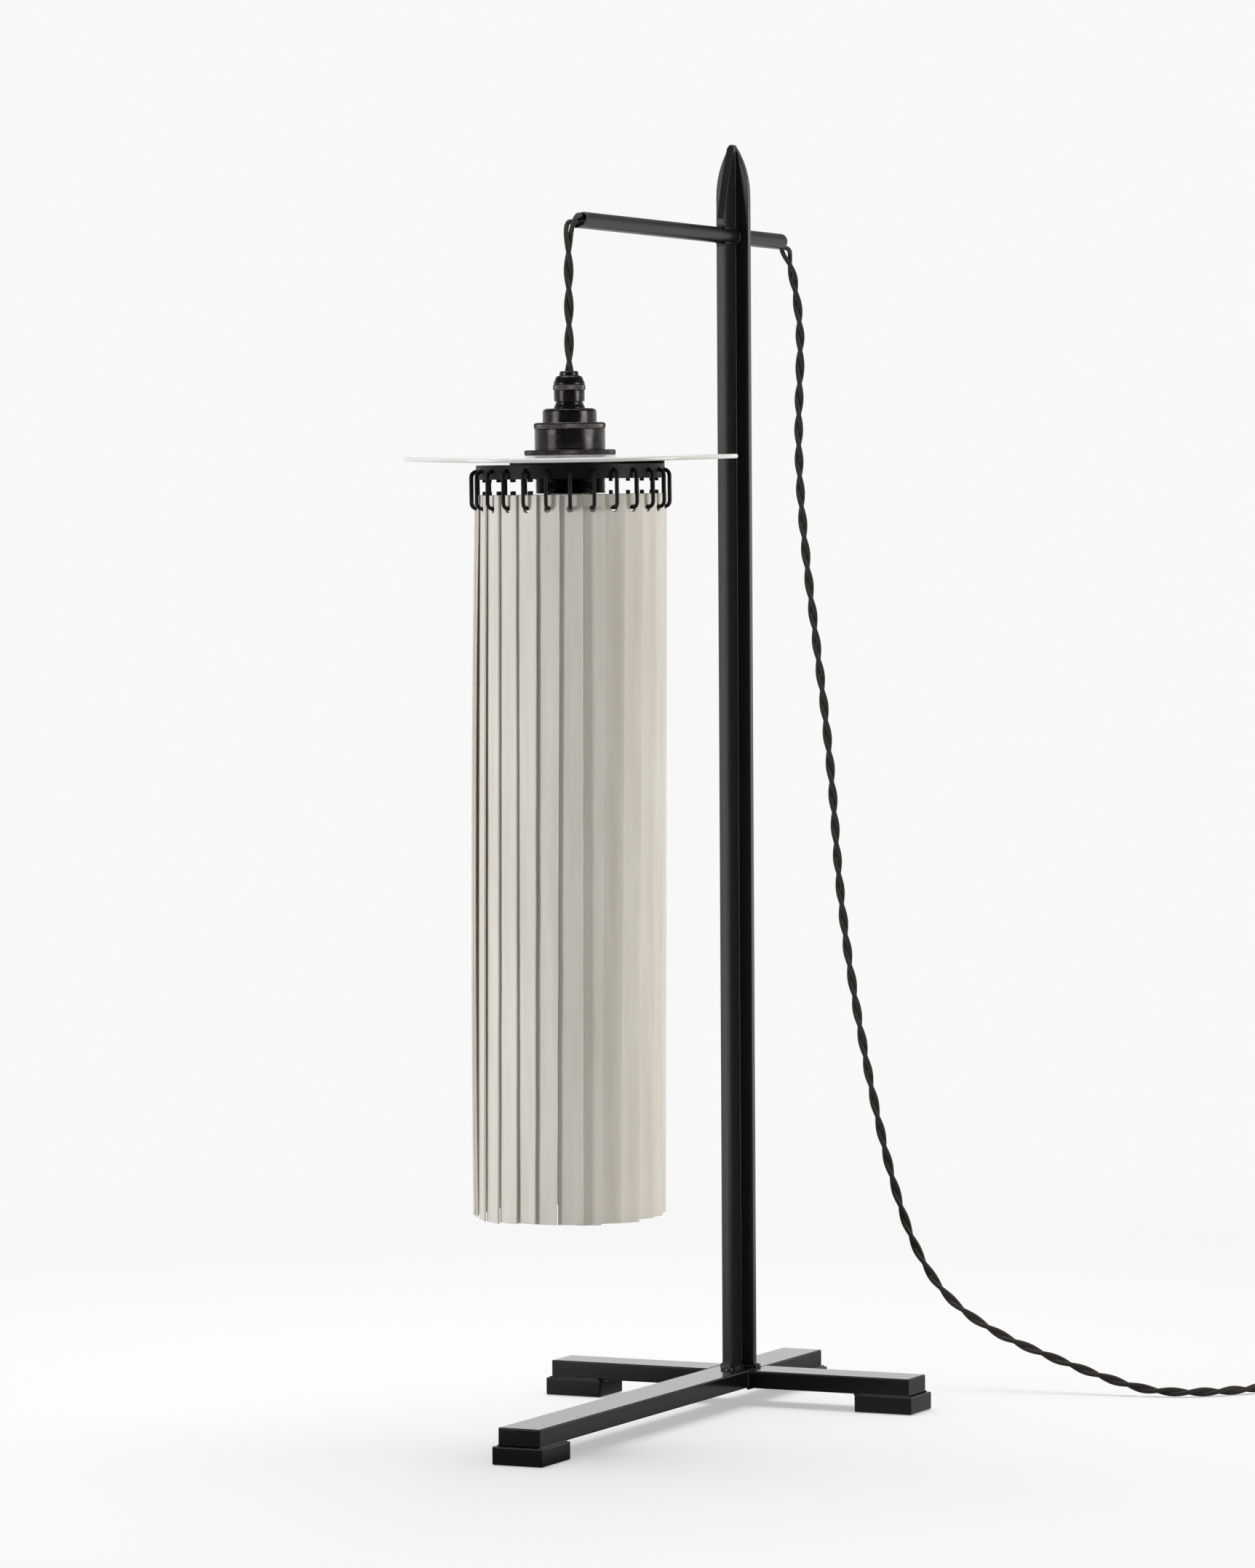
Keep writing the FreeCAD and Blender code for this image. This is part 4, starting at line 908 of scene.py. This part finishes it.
# waves of a strip's edges: how fast they change across and along it, their gain and how soon they set in
stripDrift = {"across": 3.0, "along": 26.0, "gain": 4.0, "onset": 6.0}
# points of a strip's blank each way, and the drill for its hole
stripGrid = {"across": 5, "through": 2, "along": 70, "holeSides": 28, "drill": 10 * mm}


def makeStripBlank(tree, size):
    # a flat blank with its hole, hung from the hole
    grid = stripGrid
    block = shape(tree, "MeshCube", {"Size": joined(tree, size["Width"], size["Thick"], size["Length"]),
                                     "Vertices X": grid["across"], "Vertices Y": grid["through"],
                                     "Vertices Z": grid["along"]})
    middle = calc(tree, "MULTIPLY_ADD", size["Length"], -0.5, size["Head"])
    hung = shape(tree, "Transform", {"Geometry": block, "Translation": joined(tree, z=middle)})
    drill = shape(tree, "MeshCylinder", {"Vertices": grid["holeSides"], "Radius": size["Hole"],
                                         "Depth": grid["drill"]})
    low = joined(tree, z=calc(tree, "MULTIPLY", size["Hole Drop"], -1.0))
    aimed = shape(tree, "Transform", {"Geometry": drill, "Translation": low,
                                      "Rotation": (math.pi / 2, 0, 0)})
    return shape(tree, "MeshBoolean", {"Mesh 1": hung, "Mesh 2": aimed}, operation="DIFFERENCE")


def makeStripTree():
    tree, start, end = newTree("strip", {"Width": 0.0135, "Thick": 0.0011, "Length": 0.39, "Head": 0.007,
                                         "Hole": 0.0019, "Hole Drop": 0.0005, "Wave": 0.0003, "Bow": 0.0004,
                                         "Twist Top": 0.0, "Twist Foot": 0.0, "Slide": 0.0, "Seed": 0.0})
    times, plus, minus = arithmetic(tree)
    size, waves = start.outputs, stripDrift
    holed = makeStripBlank(tree, size)
    x, y, z = parted(tree, shape(tree, "InputPosition"))
    down = calc(tree, "DIVIDE", minus(size["Head"], z), size["Length"])
    side = calc(tree, "DIVIDE", x, times(size["Width"], 0.5))
    # wavy edges, set in below the hole
    across = plus(times(side, waves["across"]), size["Seed"])
    place = joined(tree, across, 0.0, times(z, waves["along"]))
    drift = put(tree, "ShaderNodeTexNoise", {"Vector": place, "Scale": 1.0, "Detail": 1.0}).outputs["Fac"]
    wavy = times(minus(drift, 0.5), times(size["Wave"], waves["gain"]))
    edgeMove = times(wavy, calc(tree, "ABSOLUTE", side))
    eased = calc(tree, "MINIMUM", times(down, waves["onset"]), 1.0)
    # sway of the foot to one side, and bow of the middle
    newX = plus(plus(x, times(size["Slide"], down)), times(edgeMove, eased))
    belly = times(times(down, minus(1.0, down)), 4.0)
    bent = joined(tree, newX, plus(y, times(belly, size["Bow"])), z)
    angle = plus(size["Twist Top"], times(minus(size["Twist Foot"], size["Twist Top"]), down))
    turned = put(tree, "ShaderNodeVectorRotate", {"Vector": bent, "Angle": angle}, rotation_type="Z_AXIS")
    moved = shape(tree, "SetPosition", {"Geometry": holed, "Position": turned.outputs[0]})
    closeTree(tree, start, end, moved)
    return tree


def makeStrips():
    size, most = stripSizes, stripChance
    tree = makeStripTree()
    draw = random.Random(size["seed"])
    leanTo = math.radians(size["leanTo"])
    plumb = Matrix.Identity(4)
    plumb[0][2] = -math.cos(leanTo) * size["lean"] / size["length"]
    plumb[1][2] = -math.sin(leanTo) * size["lean"] / size["length"]
    ring = size["ring"] * mm
    for i in range(size["count"]):
        name = f"strip_{i + 1:02d}"
        azimuth = math.radians(size["first"] + 360 * i / size["count"])
        chance = (draw.uniform(-most["sway"], most["sway"]), draw.uniform(-most["longer"], most["longer"]),
                  draw.uniform(-most["bowBack"], 1.0) * most["bow"])
        twistTop = draw.uniform(-most["twistTop"], most["twistTop"])
        twistFoot = draw.uniform(-most["twistFoot"], most["twistFoot"])
        sway, longer, bow = stripSway.get(i + 1, chance)
        values = {"Width": size["width"] * mm, "Thick": size["thick"] * mm, "Head": size["head"] * mm,
                  "Length": (size["length"] + longer) * mm, "Hole": size["hole"] * mm,
                  "Hole Drop": size["holeDrop"] * mm, "Wave": size["wave"] * mm, "Bow": bow * mm,
                  "Twist Top": math.radians(twistTop), "Twist Foot": math.radians(twistFoot),
                  "Slide": sway * mm, "Seed": size["seedStep"] * i}
        mesh = grow(name, bpy.data.meshes.new(name), tree, bisque, values, size["edge"] * mm)
        place = Vector((ring * math.sin(azimuth), hangY - ring * math.cos(azimuth), size["pivot"] * mm))
        turn = Matrix.Rotation(azimuth - math.radians(size["shingle"]), 4, "Z")
        mesh.transform(Matrix.Translation(shadeTilt @ place) @ plumb @ turn)
        settle(finishPiece(name + "Porcelain", cleanMesh(mesh), 35), name, "strip_porcelain", name)


makeStrips()
print("strips hung")


# steel stand and the other solids keep their shape and get their finish; the first value softens
# edges that have no rounding, in millimetres

softPieces = {
    "post": (0.6, satinSteel, "stand", "black_steel"),
    "base_long_bar": (0, baseSteel, "stand", "black_steel"),
    "base_left_bar": (0, baseSteel, "stand", "black_steel"),
    "base_right_bar": (0, baseSteel, "stand", "black_steel"),
    "feet": (0, baseSteel, "stand", "black_steel"),
    "arm_tube": (0.25, tubeSteel, "stand", "tube_steel"),
    "carrier_band": (0.2, hookSteel, "shade", "black_steel"),
    "carrier_spider": (0.3, hookSteel, "shade", "black_steel"),
    "holder_insulator": (0, bisque, "shade", "insulator_ceramic"),
    "screw_shell": (0, nickel, "shade", "nickel"),
    "centre_contact": (0, nickel, "shade", "nickel"),
    "bulb_cap": (0, nickel, "shade", "nickel"),
    "bulb_glass": (0, opal, "shade", "bulb_frosted_glass"),
}
plainPieces = {
    "switch_base": plastic, "switch_cover": plastic, "switch_rocker": plastic,
    "plug_body": plastic, "plug_pins": nickel, "cord_tie": strapWeave,
}


def softCopy(name, width, material):
    mesh = nodes[name].data.copy()
    work = workOn(mesh)
    bmesh.ops.remove_doubles(work, verts=work.verts, dist=1e-6)
    if width:
        flat = math.radians(0.6)
        bmesh.ops.dissolve_limit(work, angle_limit=flat, verts=work.verts, edges=work.edges)
    helper = finishPiece(name + "Helper", keep(work, mesh), 30)
    if width:
        soften(helper, width, 3, 32)
    # flat faces stay flat beside their rounded edges
    flatter = helper.modifiers.new("flatter", "WEIGHTED_NORMAL")
    flatter.keep_sharp = True
    made = evaluated(helper)
    bpy.data.objects.remove(helper)
    made.name = name + "Soft"
    piece = newObject(name + "Soft", made)
    paint(piece, material)
    return piece


def makeStand():
    for name, (width, material, body, slot) in softPieces.items():
        piece = softCopy(name, width * mm, material)
        if body == "shade":
            piece.data.transform(shadeTilt)
        settle(piece, body, slot, name)
    for name, material in plainPieces.items():
        paint(nodes[name], material)


makeStand()
print("stand finished")


# weld beads, in millimetres

weldSizes = {"ripple": 2.6, "depth": 0.04, "uneven": 0.4, "step": 0.4, "lumps": 350.0}
postFoot = [(-2.25, 89.4), (2.25, 89.4), (2.25, 105.4), (10, 105.4), (10, 109.4), (-10, 109.4),
            (-10, 105.4), (-2.25, 105.4)]
tubeAxis = 669.2


def tubeRing(y, radius, steps=48):
    turns = [2 * math.pi * k / steps for k in range(steps)]
    return [(radius * math.sin(a), y, tubeAxis + radius * math.cos(a)) for a in turns]


welds = {
    "postFoot": {"radius": 1.45, "closed": True, "runs": [[(x, y, 20.2) for x, y in postFoot]]},
    "footCorner": {"radius": 2.0, "closed": False, "runs": [
        [(10.2, 104.6, 20.2), (11.3, 107.4, 20.3), (10.4, 110.2, 20.2)],
        [(2.6, 92, 20.3), (3, 98, 20.4), (2.8, 104, 20.3)]]},
    "tubeRings": {"radius": 0.75, "closed": True, "runs": [tubeRing(105.2, 4.75), tubeRing(109.6, 4.75)]},
    "tubeSides": {"radius": 0.9, "closed": False, "runs": [
        [(x, y, tubeAxis + z) for y in (89.8, 97, 104.6)] for x in (-2.3, 2.3) for z in (-4.25, 4.25)]},
    "tubeEnds": {"radius": 1.15, "closed": False, "runs": [
        [(x, 89.7, tubeAxis + z) for x in (-2.2, 0, 2.2)] for z in (-5.15, 5.15)]},
    "crossCorners": {"radius": 0.9, "closed": False, "runs": [
        [(x, y, z) for z in (10.4, 15, 19.3)] for x in (-12.7, 12.7) for y in (90.8, 116.2)]},
    "crossUnder": {"radius": 1.1, "closed": False, "runs": [
        [(x, y, 10.0) for y in (91.5, 103.5, 115.5)] for x in (-12.6, 12.6)]},
    "footSeams": {"radius": 0.55, "closed": False, "runs": (
        [[(x, y + s, 10.1) for s in (2.5, 17.5, 33.5)] for x in (-12.6, 12.6) for y in (-180, 165.5)]
        + [[(x + s, y, 10.1) for s in (1.5, 17.5, 32.5)] for x in (-115, 80.5) for y in (90.9, 116.1)])},
    "footToes": {"radius": 1.2, "closed": False, "runs": (
        [[(x, y, 9.8) for y in (91.5, 103.5, 115.5)] for x in (79.8, -79.8)]
        + [[(x, y, 9.8) for x in (-12, 0, 12)] for y in (-144.8, 163.8)])},
}


def makeWeldTree():
    # a bead along a curve, rippled and a little uneven
    tree, start, end = newTree("weld", {"Radius": 0.001, "Ripple": 0.0015, "Depth": 0.15, "Uneven": 0.4})
    times, plus, minus = arithmetic(tree)
    size = start.outputs
    even = shape(tree, "ResampleCurve", {"Curve": size["Geometry"], "Length": weldSizes["step"] * mm},
                 mode="LENGTH")
    run = put(tree, "GeometryNodeSplineParameter").outputs["Length"]
    turn = calc(tree, "DIVIDE", times(run, 2 * math.pi), size["Ripple"])
    spot = shape(tree, "InputPosition")
    drift = put(tree, "ShaderNodeTexNoise", {"Vector": spot, "Scale": weldSizes["lumps"], "Detail": 2.0})
    bulge = times(minus(drift.outputs["Fac"], 0.5), size["Uneven"])
    share = plus(calc(tree, "MULTIPLY_ADD", calc(tree, "SINE", turn), size["Depth"], 1.0), bulge)
    section = shape(tree, "CurvePrimitiveCircle", {"Resolution": 10, "Radius": 1.0})
    bead = shape(tree, "CurveToMesh", {"Curve": even, "Profile Curve": section,
                                       "Scale": times(share, size["Radius"]), "Fill Caps": True})
    closeTree(tree, start, end, bead)
    return tree


def makeWelds():
    tree = makeWeldTree()
    for name, size in welds.items():
        curve = newCurve(name)
        for points in size["runs"]:
            addRun(curve, [Vector(point) * mm for point in points]).use_cyclic_u = size["closed"]
        values = {"Radius": size["radius"] * mm, "Ripple": weldSizes["ripple"] * mm,
                  "Depth": weldSizes["depth"], "Uneven": weldSizes["uneven"]}
        mesh = grow(name, curve, tree, satinSteel, values)
        settle(finishPiece(name + "Weld", cleanMesh(mesh), 60), "stand", "black_steel")


makeWelds()
print("welds laid")


# floor and light

# white to the camera, and grey where the floor throws light back on the object
floorSizes = {"half": 9, "below": 0.3 * mm, "white": 0.94, "bounce": 0.42, "glow": 0.46, "near": 0.5,
              "far": 1.3}
# levels of the near floor in metal, and the places across it between which they change
floorMirror = {"middle": 0.06, "left": 0.8, "leftFrom": -0.05, "leftTo": -0.18, "right": 0.32,
               "rightFrom": 0.02, "rightTo": 0.06}
# the room is bright behind and beside the object and dim in front of it
roomSizes = {"white": 0.94, "level": 0.42, "frontShare": 0.5, "dimStart": 0.0, "dimStop": 0.75,
             "colour": (1.0, 0.95, 0.86, 1)}
# seen in metal, the room is white behind, dim in front and has a lamp on each side
mirrorSizes = {"front": 0.09, "dimStart": -0.6, "dimStop": 0.75, "behind": 0.97, "overhead": 0.3,
               "riseStart": 0.08, "riseStop": 0.36, "lampRise": 9.0, "lampCore": 12.0, "lampRim": 16.0,
               "lamps": {"left": {"aside": -61.0, "level": 3.8}, "right": {"aside": 67.0, "level": 5.2}}}
# three lamps light the object alone, and one overhead lights the floor and throws the object's shadow on it
lamps = {
    "leftStrip": {"from": (-1.58, -2.17, 1.1), "to": (0, -0.1, 0.4), "wide": 0.34, "tall": 1.2, "power": 42,
                  "colour": (0.975, 0.985, 1.0), "onFloor": False, "mirrored": False},
    "rightBox": {"from": (2.3, 0.58, 1.0), "to": (0, -0.1, 0.4), "wide": 0.8, "tall": 1.5, "power": 35,
                 "colour": (1.0, 0.975, 0.93), "onFloor": False, "mirrored": False},
    "topSoftbox": {"from": (-0.2, 0.15, 2.4), "to": (0, 0, 0.2), "wide": 1.7, "tall": 1.7, "power": 22,
                   "colour": (0.97, 0.985, 1.0), "onFloor": False, "mirrored": True},
    "floorBox": {"from": (-0.2, 0.15, 2.4), "to": (0, 0, 0.2), "wide": 1.7, "tall": 1.7, "power": 52,
                 "colour": (0.94, 0.968, 1.0), "onFloor": True, "mirrored": False},
}


def dotProduct(tree, way, fixed):
    return vectorCalc(tree, "DOT_PRODUCT", {0: way, 1: fixed}, "Value")


def sideways(aside, rise=0.0):
    # the level direction towards the camera, turned aside and raised, in degrees
    turn, rise = math.radians(cameraView["azimuth"] + aside), math.radians(rise)
    return (math.sin(turn) * math.cos(rise), -math.cos(turn) * math.cos(rise), math.sin(rise))


def mirroredRoom(tree, way):
    size = mirrorSizes
    ahead = dotProduct(tree, way, sideways(0))
    dim = ramp(tree, ahead, size["dimStart"], size["dimStop"], size["behind"], size["front"])
    rise = dotProduct(tree, way, (0, 0, 1))
    high = ramp(tree, rise, size["riseStart"], size["riseStop"], 1.0, size["overhead"])
    level = calc(tree, "MULTIPLY", dim, high)
    rim, core = [math.cos(math.radians(size[key])) for key in ("lampRim", "lampCore")]
    for lamp in size["lamps"].values():
        toward = dotProduct(tree, way, sideways(lamp["aside"], size["lampRise"]))
        level = calc(tree, "MULTIPLY_ADD", ramp(tree, toward, rim, core), lamp["level"], level)
    return level


def makeFloor():
    size, mirror, white = floorSizes, floorMirror, floorSizes["white"]
    work = bmesh.new()
    bmesh.ops.create_grid(work, x_segments=1, y_segments=1, size=size["half"])
    mesh = keep(work, bpy.data.meshes.new("paleFloor"))
    mesh.transform(Matrix.Translation((0, 0, -size["below"])))
    floor = newObject("paleFloor", mesh)
    material, tree, shader = newMaterial("paleFloor", (white, white, white), 0.9, 0.0, 0.1)
    spot = put(tree, "ShaderNodeTexCoord").outputs["Object"]
    away = vectorCalc(tree, "LENGTH", {0: spot}, "Value")
    fade = ramp(tree, away, size["near"], size["far"])
    path = put(tree, "ShaderNodeLightPath")
    toCamera, mirrored = path.outputs["Is Camera Ray"], path.outputs["Is Glossy Ray"]
    colour = calc(tree, "MULTIPLY_ADD", toCamera, white - size["bounce"], size["bounce"])
    tree.links.new(colour, shader.inputs["Base Color"])
    # seen in metal, the floor close by is in the object's own shade, and further off it shows the room
    across = parted(tree, spot)[0]
    left = ramp(tree, across, mirror["leftFrom"], mirror["leftTo"], mirror["middle"], mirror["left"])
    right = ramp(tree, across, mirror["rightFrom"], mirror["rightTo"], mirror["middle"], mirror["right"])
    close = calc(tree, "MAXIMUM", left, right)
    way = vectorCalc(tree, "NORMALIZE", {0: spot})
    shown = ramp(tree, fade, 0.0, 1.0, close, mirroredRoom(tree, way))
    level = ramp(tree, mirrored, 0.0, 1.0, white, shown)
    glow = put(tree, "ShaderNodeEmission", {"Color": (1, 1, 1, 1), "Strength": level})
    seen = calc(tree, "MULTIPLY", calc(tree, "MAXIMUM", fade, size["glow"]), toCamera)
    share = calc(tree, "MAXIMUM", seen, mirrored)
    blend = put(tree, "ShaderNodeMixShader", {0: share, 1: shader.outputs[0], 2: glow.outputs[0]})
    tree.links.new(blend.outputs[0], tree.nodes["Material Output"].inputs[0])
    paint(floor, material)
    return floor


def makeWorld():
    size, white = roomSizes, roomSizes["white"]
    world = bpy.data.worlds.new("studio")
    stage.world = world
    world.use_nodes = True
    tree = world.node_tree
    path = put(tree, "ShaderNodeLightPath").outputs
    mirrored = calc(tree, "ADD", path["Is Glossy Ray"], path["Is Transmission Ray"])
    mirrored = calc(tree, "MINIMUM", mirrored, 1.0)
    way = put(tree, "ShaderNodeTexCoord").outputs["Generated"]
    ahead = dotProduct(tree, way, sideways(0))
    front = size["level"] * size["frontShare"]
    dim = ramp(tree, ahead, size["dimStart"], size["dimStop"], size["level"], front)
    room = tree.nodes["Background"]
    room.inputs["Color"].default_value = size["colour"]
    tree.links.new(dim, room.inputs["Strength"])
    image = put(tree, "ShaderNodeBackground", {"Color": (1, 1, 1, 1), "Strength": mirroredRoom(tree, way)})
    lit = put(tree, "ShaderNodeMixShader", {0: mirrored, 1: room.outputs[0], 2: image.outputs[0]})
    backdrop = put(tree, "ShaderNodeBackground", {"Color": (white, white, white, 1), "Strength": 1.0})
    blend = put(tree, "ShaderNodeMixShader", {0: path["Is Camera Ray"], 1: lit.outputs[0],
                                              2: backdrop.outputs[0]})
    tree.links.new(blend.outputs[0], tree.nodes["World Output"].inputs[0])


def makeLamps(floor):
    receivers = {}
    for onFloor, state in ((True, "INCLUDE"), (False, "EXCLUDE")):
        group = bpy.data.collections.new("floorOnly" if onFloor else "allButFloor")
        group.objects.link(floor)
        group.collection_objects[0].light_linking.link_state = state
        receivers[onFloor] = group
    for name, size in lamps.items():
        data = bpy.data.lights.new(name, "AREA")
        data.shape = "RECTANGLE"
        data.size, data.size_y = size["wide"], size["tall"]
        data.energy = size["power"]
        data.color = size["colour"]
        lamp = newObject(name, data)
        lamp.visible_camera = False
        lamp.visible_glossy = size["mirrored"]
        lamp.light_linking.receiver_collection = receivers[size["onFloor"]]
        aim = (Vector(size["to"]) - Vector(size["from"])).to_track_quat("-Z", "Y")
        lamp.matrix_world = Matrix.Translation(size["from"]) @ aim.to_matrix().to_4x4()


paleFloor = makeFloor()
makeWorld()
makeLamps(paleFloor)
stage.view_settings.view_transform = "Standard"
print("floor and light set")
